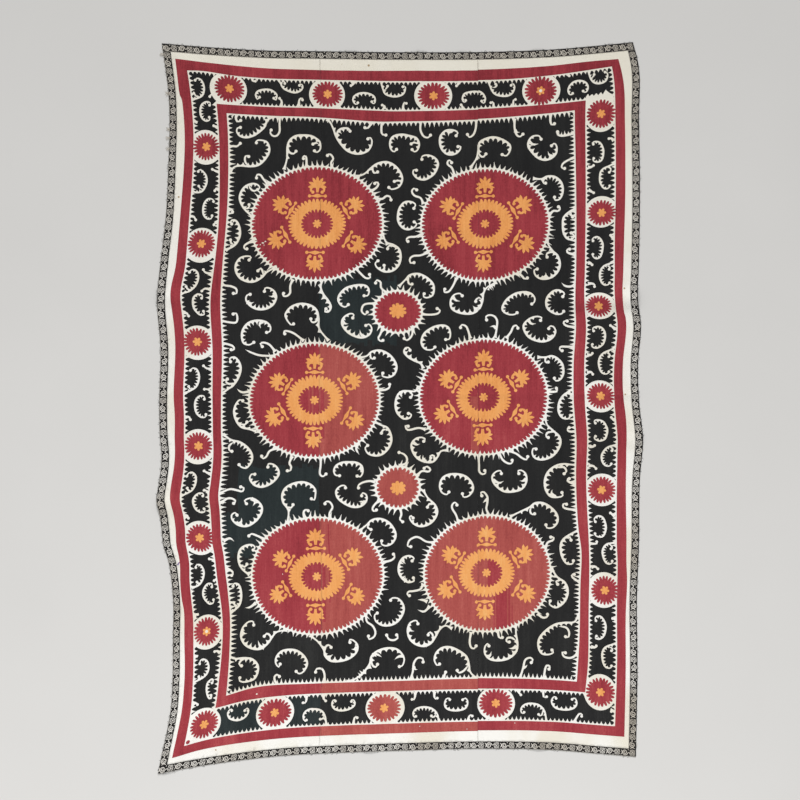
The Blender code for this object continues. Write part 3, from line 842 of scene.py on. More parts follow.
    ("br", -7, (-680, 1039), (-672, 1046), (-660, 1042), (-653, 1028), (-652, 1012), (-657, 995), (-668, 985),
     (-685, 978), (-702, 972)),
    ("tb", 0, (-668, 986), (-680, 987), (-688, 997)),
    ("rb", 0, (-615, 990), (-627, 997), (-635, 989)),
    ("bb", 8, (-637, 961), (-633, 968), (-646, 972), (-662, 963), (-669, 946), (-668, 926), (-659, 913),
     (-648, 909),
     (-637, 914), (-639, 922)),
    ("rb", 0, (-700, 909), (-690, 909), (-683, 903)),
    ("rb", 0, (-610, 890), (-618, 893), (-624, 895)),
    ("br", -8, (-673, 745), (-669, 751), (-660, 748), (-647, 734), (-643, 716), (-647, 699), (-658, 682),
     (-676, 677), (-694, 682)),
    ("tb", 0, (-655, 688), (-664, 690), (-670, 698)),
    ("rb", 0, (-601, 746), (-615, 749), (-626, 754)),
    ("rb", 0, (-600, 690), (-611, 692), (-616, 685)),
    ("bb", 8, (-619, 650), (-622, 657), (-637, 658), (-649, 645), (-653, 625), (-650, 606), (-638, 594),
     (-624, 595),
     (-622, 604)),
    ("rb", 0, (-698, 601), (-682, 599), (-675, 589)),
    ("rb", 0, (-599, 580), (-609, 582), (-614, 575)),
    ("br", -8, (-680, 421), (-676, 428), (-664, 429), (-653, 417), (-651, 397), (-659, 376), (-676, 360),
     (-694, 354), (-705, 347)),
    ("tb", 0, (-668, 366), (-680, 366), (-687, 375)),
    ("rb", 0, (-609, 416), (-630, 421), (-637, 430)),
    ("rb", 0, (-609, 366), (-628, 369), (-637, 361)),
    ("bb", 7, (-637, 338), (-634, 346), (-649, 351), (-662, 340), (-664, 319), (-659, 301), (-644, 285),
     (-630, 286),
     (-632, 296)),
    ("rb", 0, (-697, 291), (-685, 290), (-679, 281)),
    ("rb", 0, (-607, 112), (-626, 112), (-638, 121)),
    ("br", -8, (-679, 107), (-673, 114), (-660, 111), (-652, 96), (-651, 77), (-659, 55), (-678, 42),
     (-699, 34)),
    ("tb", 0, (-668, 48), (-678, 48), (-683, 56)),
    ("rb", 0, (-608, 28), (-619, 44), (-633, 46)),
    ("bb", 8, (-633, 14), (-633, 23), (-647, 25), (-659, 14), (-663, -6), (-658, -29), (-644, -43),
     (-629, -43),
     (-628, -35)),
    ("rb", 0, (-695, -42), (-682, -41), (-677, -50)),
    ("rb", 0, (-610, -226), (-624, -222), (-636, -215)),
    ("br", -7, (-689, -229), (-685, -220), (-673, -218), (-660, -232), (-659, -256), (-666, -274),
     (-680, -283),
     (-702, -292)),
    ("tb", 0, (-668, -275), (-677, -276), (-683, -267)),
    ("rb", 0, (-611, -294), (-619, -281), (-629, -277)),
    ("bb", 7, (-632, -295), (-630, -288), (-646, -286), (-660, -299), (-664, -316), (-659, -336),
     (-644, -347),
     (-631, -344), (-633, -336)),
    ("rb", 0, (-700, -353), (-689, -354), (-686, -362)),
    ("rb", 0, (-614, -500), (-628, -498), (-637, -495)),
    ("br", -7, (-686, -518), (-683, -510), (-669, -512), (-661, -527), (-661, -543), (-669, -562),
     (-683, -575),
     (-706, -580)),
    ("tb", 0, (-673, -569), (-681, -572), (-687, -564)),
    ("rb", 0, (-613, -573), (-621, -563), (-628, -565)),
    ("bb", 8, (-637, -584), (-635, -575), (-651, -573), (-665, -587), (-669, -604), (-663, -621),
     (-647, -637),
     (-633, -634), (-633, -625)),
    ("rb", 0, (-700, -678), (-694, -665), (-688, -666)),
    ("rb", 0, (-609, -796), (-620, -789), (-628, -790)),
    ("rb", 0, (-702, -803), (-695, -798), (-690, -797)),
    ("br", -7, (-680, -822), (-676, -811), (-664, -810), (-652, -820), (-648, -840), (-655, -858),
     (-673, -870),
     (-701, -878)),
    ("tb", 0, (-665, -866), (-675, -870), (-682, -862)),
    ("rb", 0, (-611, -873), (-616, -862), (-621, -866)),
    ("bb", 6, (-635, -888), (-630, -881), (-637, -876), (-650, -885), (-654, -901), (-651, -922),
     (-643, -936),
     (-634, -935), (-637, -927)),
    ("rb", 0, (-702, -951), (-689, -944), (-682, -950)),
    # The top border, left part.
    ("rb", 0, (-491, 1062), (-488, 1048), (-480, 1048)),
    ("bb", -7, (-468, 996), (-476, 989), (-481, 1003), (-472, 1016), (-449, 1022), (-428, 1020), (-412, 1008),
     (-411, 996), (-416, 987), (-421, 994)),
    ("rb", 7, (-405, 1060), (-397, 1043), (-388, 1027), (-369, 1017), (-349, 1013), (-331, 1020),
     (-324, 1032),
     (-329, 1042), (-335, 1037)),
    ("tb", 0, (-398, 1043), (-386, 1051), (-383, 1043)),
    ("rb", 0, (-397, 969), (-395, 984), (-402, 994)),
    ("rb", 0, (-338, 968), (-337, 988), (-328, 996), (-326, 989)),
    # The right border, from the top.
    ("rb", 0, (692, 838), (684, 846), (676, 846)),
    ("bb", -7, (625, 831), (622, 836), (630, 839), (641, 838), (650, 831), (656, 818), (658, 806), (656, 788),
     (650, 776), (639, 772), (629, 774), (623, 779), (626, 785)),
    ("rb", 0, (607, 757), (617, 757), (625, 762)),
    ("rb", 7, (693, 765), (682, 760), (671, 756), (657, 750), (648, 740), (645, 724), (646, 706), (654, 690),
     (664, 684), (675, 687), (677, 693)),
    ("tb", 0, (663, 752), (676, 753), (682, 744), (676, 737)),
    ("rb", 0, (608, 683), (617, 678), (625, 673)),
    ("rb", 0, (694, 526), (687, 526), (681, 533)),
    ("bb", -8, (624, 517), (621, 522), (630, 529), (640, 529), (650, 520), (656, 506), (656, 492), (654, 478),
     (649, 465), (640, 459), (631, 460), (623, 469), (624, 473)),
    ("rb", 0, (609, 446), (617, 444), (622, 439)),
    ("rb", 8, (694, 447), (681, 442), (664, 436), (653, 426), (648, 411), (649, 394), (656, 379), (667, 372),
     (678, 374), (681, 379)),
    ("tb", 0, (667, 435), (676, 433), (681, 427), (678, 423)),
    ("rb", 0, (610, 378), (624, 378), (632, 374), (632, 368)),
    ("rb", 0, (693, 229), (684, 236), (677, 241)),
    ("bb", -8, (623, 224), (619, 230), (625, 236), (638, 238), (650, 233), (659, 219), (661, 201), (657, 183),
     (648, 173), (636, 168), (625, 170), (619, 176), (621, 180)),
    ("rb", 0, (606, 146), (620, 146), (623, 151)),
    ("rb", 8, (693, 165), (677, 160), (661, 153), (650, 142), (645, 124), (647, 106), (654, 90), (664, 84),
     (675, 85), (679, 91)),
    ("tb", 0, (664, 153), (675, 151), (682, 144), (678, 140)),
    ("rb", 0, (607, 89), (621, 90), (626, 83)),
    ("rb", 0, (693, -67), (686, -64), (680, -57)),
    ("bb", -8, (627, -76), (623, -70), (629, -66), (641, -66), (654, -72), (661, -85), (664, -97),
     (661, -113),
     (654, -128), (639, -134), (627, -131), (620, -124), (625, -119)),
    ("rb", 0, (606, -152), (617, -153), (622, -149)),
    ("rb", 8, (692, -147), (678, -149), (664, -154), (653, -165), (646, -181), (648, -197), (655, -209),
     (665, -215),
     (676, -214), (679, -208)),
    ("tb", 0, (665, -152), (674, -154), (681, -161), (678, -165)),
    ("rb", 0, (606, -215), (622, -216), (631, -224)),
    ("rb", 0, (696, -377), (688, -372), (681, -367)),
    ("bb", -8, (632, -397), (628, -390), (635, -380), (648, -378), (659, -386), (665, -402), (667, -416),
     (663, -434), (655, -445), (642, -446), (633, -442), (631, -436)),
    ("rb", 0, (612, -468), (630, -469), (639, -467), (637, -462)),
    ("rb", 8, (699, -462), (685, -465), (671, -468), (660, -479), (656, -495), (660, -513), (667, -527),
     (678, -533),
     (689, -529), (689, -523)),
    ("tb", 0, (674, -468), (683, -472), (689, -479), (684, -483)),
    ("rb", 0, (622, -545), (634, -543), (643, -550)),
    ("rb", 0, (710, -716), (702, -711), (694, -709)),
    ("bb", -8, (639, -719), (636, -713), (641, -705), (654, -704), (664, -714), (671, -730), (671, -746),
     (666, -764), (657, -775), (645, -779), (635, -775), (640, -769)),
    ("rb", 0, (622, -805), (636, -806), (639, -801)),
    ("rb", 8, (709, -788), (693, -793), (675, -800), (664, -809), (658, -825), (659, -845), (664, -861),
     (673, -870),
     (686, -870), (689, -863)),
    ("tb", 0, (677, -801), (688, -804), (694, -810), (689, -814)),
    ("rb", 0, (694, -1003), (692, -1007), (690, -1011)),
    # The top border, from the seam to the right corner.
    ("rb", 0, (-155, 1052), (-160, 1042), (-166, 1038)),
    ("bb", -7, (-144, 982), (-148, 976), (-156, 981), (-160, 991), (-156, 1003), (-142, 1012), (-125, 1015),
     (-106, 1012), (-92, 1005), (-87, 995), (-88, 982), (-95, 980), (-98, 986)),
    ("rb", 7, (-67, 1056), (-65, 1041), (-61, 1027), (-55, 1013), (-41, 1006), (-23, 1003), (-6, 1006),
     (6, 1013),
     (12, 1027), (11, 1038), (4, 1036)),
    ("tb", 0, (-60, 1024), (-52, 1028), (-46, 1038)),
    ("rb", 0, (-56, 962), (-58, 972), (-64, 975)),
    ("rb", 0, (4, 957), (5, 974), (9, 984), (15, 981)),
    ("rb", 0, (187, 1053), (184, 1044), (179, 1039)),
    ("bb", -8, (209, 991), (208, 984), (200, 988), (198, 998), (204, 1012), (220, 1018), (239, 1020),
     (256, 1017),
     (267, 1008), (273, 995), (271, 982), (264, 979), (261, 986)),
    ("rb", 0, (200, 958), (198, 970), (194, 976)),
    ("rb", 0, (299, 960), (300, 975), (297, 983), (291, 980)),
    ("rb", 8, (282, 1055), (288, 1036), (295, 1019), (305, 1008), (322, 1002), (343, 1001), (359, 1008),
     (367, 1022),
     (368, 1034), (362, 1042), (357, 1036)),
    ("tb", 0, (293, 1030), (305, 1031), (311, 1038), (307, 1041)),
    ("rb", 0, (364, 960), (364, 975), (365, 987), (371, 989)),
    ("rb", 0, (540, 1073), (541, 1063), (547, 1059)),
    ("bb", -7, (557, 1001), (553, 996), (545, 1001), (542, 1012), (547, 1026), (559, 1037), (574, 1041),
     (590, 1039),
     (602, 1031), (607, 1019), (605, 1007), (597, 1001), (591, 1006)),
    ("rb", 7, (610, 1073), (614, 1050), (621, 1036), (633, 1028), (650, 1027), (664, 1033), (671, 1046),
     (671, 1058),
     (664, 1062)),
    ("tb", 0, (615, 1045), (625, 1051), (628, 1057)),
    # The bottom border, from the left.
    ("bb", 6, (-562, -985), (-564, -980), (-571, -983), (-575, -993), (-569, -1007), (-556, -1015),
     (-538, -1019),
     (-521, -1015), (-509, -1005), (-505, -991), (-511, -983), (-518, -990)),
    ("rb", 0, (-314, -958), (-314, -972), (-318, -982), (-325, -981)),
    ("br", -7, (-311, -1038), (-314, -1042), (-321, -1034), (-322, -1022), (-316, -1010), (-302, -1003),
     (-287, -1003), (-270, -1006), (-258, -1014), (-250, -1029), (-247, -1045), (-245, -1058)),
    ("tb", 0, (-254, -1022), (-257, -1035), (-266, -1037)),
    ("rb", 0, (-257, -957), (-257, -970), (-250, -978)),
    ("bb", 7, (-218, -980), (-220, -975), (-227, -979), (-229, -991), (-223, -1003), (-210, -1010),
     (-192, -1012),
     (-172, -1008), (-158, -1000), (-153, -990), (-157, -979), (-164, -978), (-165, -983)),
    ("rb", 0, (-157, -1060), (-155, -1042), (-151, -1033), (-145, -1037)),
    ("rb", 0, (44, -958), (44, -972), (40, -983), (34, -982)),
    ("br", -8, (47, -1038), (45, -1042), (39, -1036), (38, -1026), (44, -1016), (56, -1010), (75, -1008),
     (95, -1012),
     (109, -1021), (118, -1034), (121, -1048), (123, -1060)),
    ("tb", 0, (112, -1026), (110, -1038), (102, -1043), (98, -1038)),
    ("rb", 0, (108, -958), (107, -973), (110, -982), (117, -980)),
    ("bb", 7, (158, -986), (156, -981), (147, -983), (142, -993), (142, -1007), (151, -1017), (168, -1022),
     (189, -1022), (208, -1016), (216, -1003), (216, -990), (209, -982), (200, -987)),
    ("rb", 0, (217, -1060), (221, -1044), (226, -1037), (232, -1041)),
    ("rb", 0, (379, -955), (386, -967), (391, -973)),
    ("br", -8, (402, -1030), (398, -1035), (392, -1028), (393, -1016), (402, -1006), (416, -1001),
     (433, -1001),
     (450, -1005), (464, -1016), (471, -1029), (474, -1045), (476, -1060)),
    ("tb", 0, (463, -1019), (463, -1031), (457, -1041), (450, -1036)),
    ("rb", 0, (465, -954), (465, -970), (468, -980), (476, -977)),
    ("bb", 7, (507, -981), (505, -975), (497, -979), (492, -990), (496, -1003), (507, -1013), (526, -1017),
     (547, -1016), (566, -1009), (575, -997), (574, -983), (567, -976), (560, -981)),
    ("rb", 0, (567, -1056), (576, -1038), (585, -1026), (594, -1028), (592, -1034)),
)
for ends, teeth, *line in SCROLLS:
    off_middle = np.abs(np.mean(line, axis=0))
    # The border's scrolls are finer than the field's.
    wide, reach = (5.6, 9.5) if off_middle[0] > 600 or off_middle[1] > 950 else (6.6, 12.5)
    vine(line, ends, abs(teeth), 1 if teeth > 0 else -1, wide=wide, reach=reach)

# The two crimson stripes lie over the ends of the scrolls.
for outer, inner in ((OUTER_STRIPE, OUTER_STRIPE_INSIDE), (INNER_STRIPE, INNER_STRIPE_INSIDE)):
    outer, inner = np.vstack(outer), np.vstack(inner)
    draw(CRIMSON, np.vstack([outer, outer[:1], inner[:1], inner[::-1]]))

# Worn places, where the thread is gone and the ground shows: centre and half size.
for u, v, half_u, half_v in (
        (-451, 519, 4.5, 2.2), (-459, 513, 2.2, 1.6), (-443, 524, 2.6, 2), (-447, 512, 1.6, 1.4),
        (-481, -941, 3, 2.6),
        (60, -1071, 1.5, 1.5), (215, -1084, 1.6, 1.3), (372, -1066, 1.5, 1.5), (-395, -560, 1.2, 2)):
    oval(GROUND, (u, v), (half_u, half_v), 8)

# Dye lots, where the thread of a colour is another shade. Columns: the colour, its shade there, left, right,
# bottom and top.
LOTS = (
    (CRIMSON, BRICK, -266, -55, -190, 200), (CRIMSON, BRICK, -266, -55, -770, -375),
    (CRIMSON, BRICK, 60, 500, -775, -375), (BRICK, CRIMSON, 310, 346, -775, -585),
    (BRICK, CRIMSON, 350, 356, -775, -640), (BRICK, CRIMSON, 361, 364, -775, -690),
    (BRICK, CRIMSON, 301, 306, -775, -650), (BRICK, CRIMSON, 282, 335, -612, -530),
    (CRIMSON, BRICK, -266, 250, -1096, -912), (BRICK, CRIMSON, -262, -252, -700, -520),
    (BRICK, CRIMSON, -240, -236, -640, -420), (BRICK, CRIMSON, -262, -250, -120, 60),
    (CRIMSON, BRICK, -290, -284, -90, 110), (CRIMSON, BRICK, -300, -297, -30, 60),
    (CRIMSON, BRICK, 225, 250, -185, 10),
    (BLACK, PALE_BLACK, -525, -266, -362, -222), (BLACK, PALE_BLACK, -600, -266, -480, -362),
    (BLACK, PALE_BLACK, -266, -15, 200, 392), (BLACK, PALE_BLACK, -600, -266, -1062, -948),
    (BLACK, PALE_BLACK, -266, -150, 395, 480),
)
for was, now, left, right, bottom, top in LOTS:
    # A lot ends unevenly from column to column of thread.
    column = left
    while column < right - 1:
        until = min(column + chance.uniform(7, 16), right)
        low, high = bottom - chance.uniform(0, 22), top + chance.uniform(0, 22)
        draw((was, now), ((column, low), (until, low), (until, high), (column, high)))
        column = until


# Making the cloth. Each piece is one closed mesh: its drawn shapes stand up as stitching, and the white
# ground lies low.
def inside(points, outline):
    """Which of these points lie inside a closed outline."""
    hit = np.zeros(len(points), bool)
    low, high = outline.min(axis=0), outline.max(axis=0)
    near = np.flatnonzero(((points >= low) & (points <= high)).all(axis=1))
    if not len(near):
        return hit
    near = near[np.argsort(points[near, 1])]
    after = np.roll(outline, -1, axis=0)
    beneath, above = np.minimum(outline, after)[:, 1], np.maximum(outline, after)[:, 1]
    for some in np.array_split(near, len(near) // 300 + 1):
        crossing = (beneath <= points[some[-1], 1]) & (above >= points[some[0], 1])
        a, b = outline[crossing], after[crossing]
        x, y = points[some, 0][:, None], points[some, 1][:, None]
        upward = (a[:, 1] <= y) & (b[:, 1] > y)
        downward = (a[:, 1] > y) & (b[:, 1] <= y)
        side = (b[:, 0] - a[:, 0]) * (y - a[:, 1]) - (x - a[:, 0]) * (b[:, 1] - a[:, 1])
        hit[some] = ((upward & (side > 0)).sum(axis=1) - (downward & (side < 0)).sum(axis=1)) != 0
    return hit


def triangles_of(points, edges, within=False):
    """The points and triangles of a fill that keeps these edges, and where each given point is now."""
    corners, kept = [Vector(p) for p in points], [tuple(e) for e in edges.tolist()]
    made = delaunay_2d_cdt(corners, kept, [], int(within), 0.01)
    now = np.zeros(len(points), int)
    for place, before in enumerate(made[3]):
        now[before] = place
    return np.array([tuple(p) for p in made[0]]), np.array(made[2]), now


# Millimetres: the cell in which one point may stand, how far points beside a line stand off it, the pitch of
# the plain underside's points, and how far they keep off its far sides.
FINE = 1.0
BESIDE = 1.9
UNDERSIDE_PITCH = 15
UNDERSIDE_MARGIN = 6


def even_points(low, high, pitch):
    """Points of a square grid between two corners."""
    columns, rows = [np.arange(start + pitch / 2, end, pitch) for start, end in zip(low, high)]
    u, v = np.meshgrid(columns, rows)
    return np.column_stack([u.ravel(), v.ravel()])


def filling(points, edges, low, high, pitch):
    """Points between the drawn lines: some close beside them, and the rest scattered pitch apart."""
    size = np.ceil((high - low) / FINE).astype(int) + 6
    taken = np.zeros(size, bool)
    a, b = points[edges[:, 0]], points[edges[:, 1]]
    gap = np.linalg.norm(b - a, axis=1)
    for share in np.linspace(0, 1, 9):
        cell = ((a + (b - a) * share - low) / FINE).astype(int) + 3
        good = ((cell >= 0) & (cell < size)).all(axis=1)
        taken[cell[good, 0], cell[good, 1]] = True
    grown = taken.copy()
    grown[1:] |= taken[:-1]
    grown[:-1] |= taken[1:]
    grown[:, 1:] |= taken[:, :-1]
    grown[:, :-1] |= taken[:, 1:]
    normal = np.column_stack([a[:, 1] - b[:, 1], b[:, 0] - a[:, 0]]) / np.maximum(gap, 1e-6)[:, None]
    middle = (a + b) / 2
    near = np.vstack([middle + BESIDE * normal, middle - BESIDE * normal])
    spread = even_points(low, high, pitch)
    spread += chance.uniform(-0.3, 0.3, spread.shape) * pitch
    kept = []
    for cloud, clear in ((near, 1), (spread, 3)):
        cloud = cloud[((cloud > low + 1.2) & (cloud < high - 1.2)).all(axis=1)]
        cell = ((cloud - low) / FINE).astype(int) + 3
        free = ~grown[cell[:, 0], cell[:, 1]]
        cloud, cell = cloud[free], cell[free]
        first = np.unique((cell // 2) @ (1, 100000), return_index=True)[1]
        cloud, cell = cloud[first], cell[first]
        kept.append(cloud)
        for du in range(-clear, clear + 1):
            for dv in range(-clear, clear + 1):
                grown[cell[:, 0] + du, cell[:, 1] + dv] = True
    return np.vstack(kept)


def rim_edges(faces):
    """The edges that belong to one triangle only, in the triangles' own direction, and those triangles."""
    pairs = np.vstack([faces[:, (0, 1)], faces[:, (1, 2)], faces[:, (2, 0)]])
    key = np.sort(pairs, axis=1) @ (1, 10000000)
    values, first, count = np.unique(key, return_index=True, return_counts=True)
    only = first[count == 1]
    return pairs[only], only % len(faces)


def cloth_piece(name, low, high, shapes, materials, under, rise, pitch=11.0, jog=(0, 0)):
    """One closed piece of cloth from low to high, with its shapes stitched on it."""
    low, high = np.array(low, float), np.array(high, float)
    corners = [low, (high[0], low[1]), high, (low[0], high[1])]
    sides = [np.linspace(a, b, max(2, int(np.linalg.norm(np.subtract(b, a)) / 8)), endpoint=False)
             for a, b in zip(corners, corners[1:] + corners[:1])]
    rim = np.vstack(sides)
    points, edges = [rim], [np.column_stack([np.arange(len(rim)), np.roll(np.arange(len(rim)), -1)])]
    base = len(rim)
    here = []
    for colour, outline in shapes:
        outline = outline + jog
        if (outline.max(axis=0) < low).any() or (outline.min(axis=0) > high).any():
            continue
        here.append((colour, outline))
        after = np.roll(outline, -1, axis=0)
        close = (np.maximum(outline, after) > low - 3) & (np.minimum(outline, after) < high + 3)
        used = np.flatnonzero(close.all(axis=1))
        points.append(outline)
        edges.append(np.column_stack([used, (used + 1) % len(outline)]) + base)
        base += len(outline)
    points, edges = np.vstack(points), np.vstack(edges)
    wanted = np.zeros(len(points), bool)
    wanted[edges.ravel()] = True
    renumber = np.cumsum(wanted) - 1
    points, edges = points[wanted], renumber[edges]
    extra = filling(points, edges, low, high, pitch)
    points, faces, now = triangles_of(np.vstack([points, extra]), edges)
    middle = points[faces].mean(axis=1)
    kept = ((middle > low + 0.002) & (middle < high - 0.002)).all(axis=1)
    faces, middle = faces[kept], middle[kept]
    colour_of = np.zeros(len(faces), int)
    for colour, outline in here:
        hit = inside(middle, outline)
        if isinstance(colour, tuple):
            was, colour = colour
            hit &= colour_of == was
        colour_of[hit] = colour
    most = np.full(len(points), -1)
    least = np.full(len(points), 99)
    for k in range(3):
        np.maximum.at(most, faces[:, k], colour_of)
        np.minimum.at(least, faces[:, k], colour_of)
    height = np.where(least == GROUND, 0.0, np.where(most == least, rise, rise * 0.5))
    borders, beside = rim_edges(faces)
    used = np.unique(faces)
    renumber = np.zeros(len(points), int)
    renumber[used] = np.arange(len(used))
    points, height = points[used], height[used]
    faces, borders = renumber[faces], renumber[borders]
    top = laid(points[:, 0], points[:, 1], under + height)
    ring = np.unique(borders)
    ring_at = np.zeros(len(points), int)
    ring_at[ring] = np.arange(len(ring))
    lower = np.vstack([points[ring], even_points(low, high - UNDERSIDE_MARGIN, UNDERSIDE_PITCH)])
    rim_again = ring_at[borders]
    lower_points, lower_faces, now = triangles_of(lower, rim_again, within=True)
    lower_faces = lower_faces[:, ::-1]
    rim_again = now[rim_again]
    bottom = laid(lower_points[:, 0], lower_points[:, 1], 0.0)
    count = len(top)
    walls = np.vstack([
        np.column_stack([borders[:, 1], borders[:, 0], rim_again[:, 0] + count]),
        np.column_stack([borders[:, 1], rim_again[:, 0] + count, rim_again[:, 1] + count])])
    every = np.vstack([faces, lower_faces + count, walls])
    mesh = bpy.data.meshes.new(name)
    mesh.from_pydata(np.vstack([top, bottom]).tolist(), [], every.tolist())
    for material in materials:
        mesh.materials.append(material)
    slots = np.zeros(len(every), np.int32)
    slots[:len(faces)] = colour_of
    slots[-2 * len(borders):] = np.tile(colour_of[beside], 2)
    mesh.polygons.foreach_set("material_index", slots)
    smooth = np.ones(len(every), bool)
    smooth[len(faces):] = False
    mesh.polygons.foreach_set("use_smooth", smooth)
    mesh.update()
    piece = bpy.data.objects.new(name, mesh)
    bpy.context.scene.collection.objects.link(piece)
    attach(piece, "root")
    return piece


# Materials.
class Wire:
    """A socket's output. Arithmetic on it adds the nodes that work it out."""

    def __init__(self, paint, socket):
        self.paint = paint
        self.socket = socket

    def work(self, operation, first, second=0.0):
        return self.paint.node("ShaderNodeMath", {"operation": operation}, first, second)

    def __add__(self, other):
        return self.work("ADD", self, other)

    def __radd__(self, other):
        return self.work("ADD", other, self)

    def __sub__(self, other):
        return self.work("SUBTRACT", self, other)

    def __rsub__(self, other):
        return self.work("SUBTRACT", other, self)

    def __mul__(self, other):
        return self.work("MULTIPLY", self, other)

    def __rmul__(self, other):
        return self.work("MULTIPLY", other, self)

    def __truediv__(self, other):
        return self.work("DIVIDE", self, other)

    def sine(self):
        return self.work("SINE", self)

    def held(self, low, high):
        """Brought from 0 at low to 1 at high."""
        return self.paint.node(
            "ShaderNodeMapRange", {"interpolation_type": "SMOOTHSTEP"}, self, low, high, 0.0, 1.0)


class Paint:
    """A material and the nodes that colour it."""

    def __init__(self, name, roughness, sheen):
        self.material = bpy.data.materials.new(name)
        self.material.use_nodes = True
        self.tree = self.material.node_tree
        self.shader = self.tree.nodes["Principled BSDF"]
        self.shader.inputs["Roughness"].default_value = roughness
        self.shader.inputs["Sheen Weight"].default_value = sheen
        self.shader.inputs["Sheen Roughness"].default_value = 0.5
        self.shader.inputs["Specular IOR Level"].default_value = 0.25
        place = self.node("ShaderNodeTexCoord", {}).socket.node
        self.place = Wire(self, place.outputs["Object"])
        apart = self.node("ShaderNodeSeparateXYZ", {}, self.place).socket.node
        self.x, self.y = Wire(self, apart.outputs[0]), Wire(self, apart.outputs[1])

    def node(self, kind, settings, *values):
        made = self.tree.nodes.new(kind)
        for key, value in settings.items():
            setattr(made, key, value)
        for socket, value in zip([s for s in made.inputs if s.enabled], values):
            self.feed(socket, value)
        return Wire(self, next(s for s in made.outputs if s.enabled))

    def feed(self, socket, value):
        if isinstance(value, Wire):
            self.tree.links.new(value.socket, socket)
        elif value is not None:
            socket.default_value = value

    def mix(self, factor, first, second):
        first, second = [c if isinstance(c, Wire) else (*c, 1.0)[:4] for c in (first, second)]
        return self.node("ShaderNodeMix", {"data_type": "RGBA"}, factor, first, second)

    def noise(self, scale, stretch=(1, 1, 1), detail=2.0, roughness=0.5):
        """Soft noise from 0 to 1; scale counts waves a metre."""
        at = self.node("ShaderNodeVectorMath", {"operation": "MULTIPLY"}, self.place, stretch)
        return self.node("ShaderNodeTexNoise", {"noise_dimensions": "3D"}, at, scale, detail, roughness)

    def finish(self, colour, roughness, bump, distance):
        self.feed(self.shader.inputs["Base Color"], colour)
        self.feed(self.shader.inputs["Roughness"], roughness)
        raised = self.node("ShaderNodeBump", {}, 1.0, distance)
        for socket in raised.socket.node.inputs:
            if socket.name == "Height":
                self.feed(socket, bump)
        self.feed(self.shader.inputs["Normal"], raised)
        return self.material


def linear(red, green, blue):
    """A display colour from 0 to 255 as the shader's own numbers."""
    shares = [c / 255 for c in (red, green, blue)]
    return tuple(c / 12.92 if c < 10 / 255 else ((c + 0.055) / 1.055) ** 2.4 for c in shares)


def thread(name, dark, middle, light, sheen=0.15):
    """Laid silk thread held by small slanting tie stitches, in lots of slightly different strength, with
    painted shade that darkens it a little towards the top of the cloth.
    """
    paint = Paint(name, 0.7, sheen)
    streak = paint.noise(520, (1, 0.05, 1), 3.0, 0.6)
    lot = paint.noise(9, (1, 0.35, 1), 3.0)
    band = paint.noise(70, (1, 0.08, 1), 2.0)
    grain = paint.noise(260, (1, 0.6, 1), 2.0, 0.65)
    ties = (paint.x * 2200 + paint.y * 2900 + streak * 3).sine() * 0.5 + 0.5
    rows = (paint.x * 3900 + streak * 2).sine() * 0.5 + 0.5
    couching = (paint.x * 1150 + band * 5).sine() * 0.5 + (paint.y * 1290 + lot * 6).sine() * 0.5
    # The last term is painted shade: the thread grows a little darker towards the top of the cloth.
    tone_and_top_shade = lot * 0.32 + band * 0.24 + streak * 0.2 + grain * 0.24 + couching * 0.035 - paint.y * 0.045
    colour = paint.mix(tone_and_top_shade.held(0.36, 0.52), dark, middle)
    colour = paint.mix(tone_and_top_shade.held(0.5, 0.7), colour, light)
    colour = paint.mix((1 - ties) * 0.16, colour, dark)
    rough = 0.62 + streak * 0.25
    return paint.finish(colour, rough, rows * 0.5 + ties * 0.35 + streak * 0.6 + couching * 0.3, 0.0005)


# Stains on the ground, in metres as they lie. Columns: x, y, radius.
STAINS = (
    (0.733, 0.391, 0.0035), (0.736, 0.045, 0.0032), (-0.721, 0.689, 0.0035), (0.729, -0.24, 0.0022),
    (0.372, -1.04, 0.005), (-0.101, 1.118, 0.004), (0.36, 1.095, 0.005), (-0.6, -1.115, 0.003),
)


# A small stroke of purple ink on the left margin, in the same columns.
INKED = ((-0.7235, -0.5105, 0.003), (-0.7215, -0.507, 0.0028), (-0.7195, -0.504, 0.0022))


def cotton(name, clean, wear_and_shade_tint, soiled, stained=(), inked=()):
    """Plain woven cotton ground, a little worn and stained, with painted shade that turns it creamier and
    darker towards the top of the cloth.
    """
    paint = Paint(name, 0.9, 0.1)
    warp = (paint.x * 6300).sine() * 0.5 + 0.5
    weft = (paint.y * 6300).sine() * 0.5 + 0.5
    slub = paint.noise(300, (1, 0.06, 1), 2.0)
    cloud = paint.noise(5, (1, 0.7, 1), 4.0)
    spots = paint.noise(60, (1, 1, 1), 3.0, 0.7)
    colour = paint.mix(cloud.held(0.42, 0.66), clean, wear_and_shade_tint)
    # Painted shade: the cloth turns towards the darker tint towards its top.
    colour = paint.mix(paint.y.held(0.1, 1.2) * 0.8, colour, wear_and_shade_tint)
    colour = paint.mix(spots.held(0.66, 0.8) * 0.5, colour, soiled)
    for spots_here, tint in ((stained, soiled), (inked, linear(118, 92, 150))):
        for x, y, radius in spots_here:
            across, along = paint.x - x, paint.y - y
            apart = (across * across + along * along) / radius ** 2
            colour = paint.mix(1 - apart.held(0.3, 1.3), colour, tint)
    colour = paint.mix((warp * weft) * 0.1, colour, wear_and_shade_tint)
    return paint.finish(colour, 0.82 + slub * 0.15, warp * 0.4 + weft * 0.4 + slub * 0.8, 0.0003)
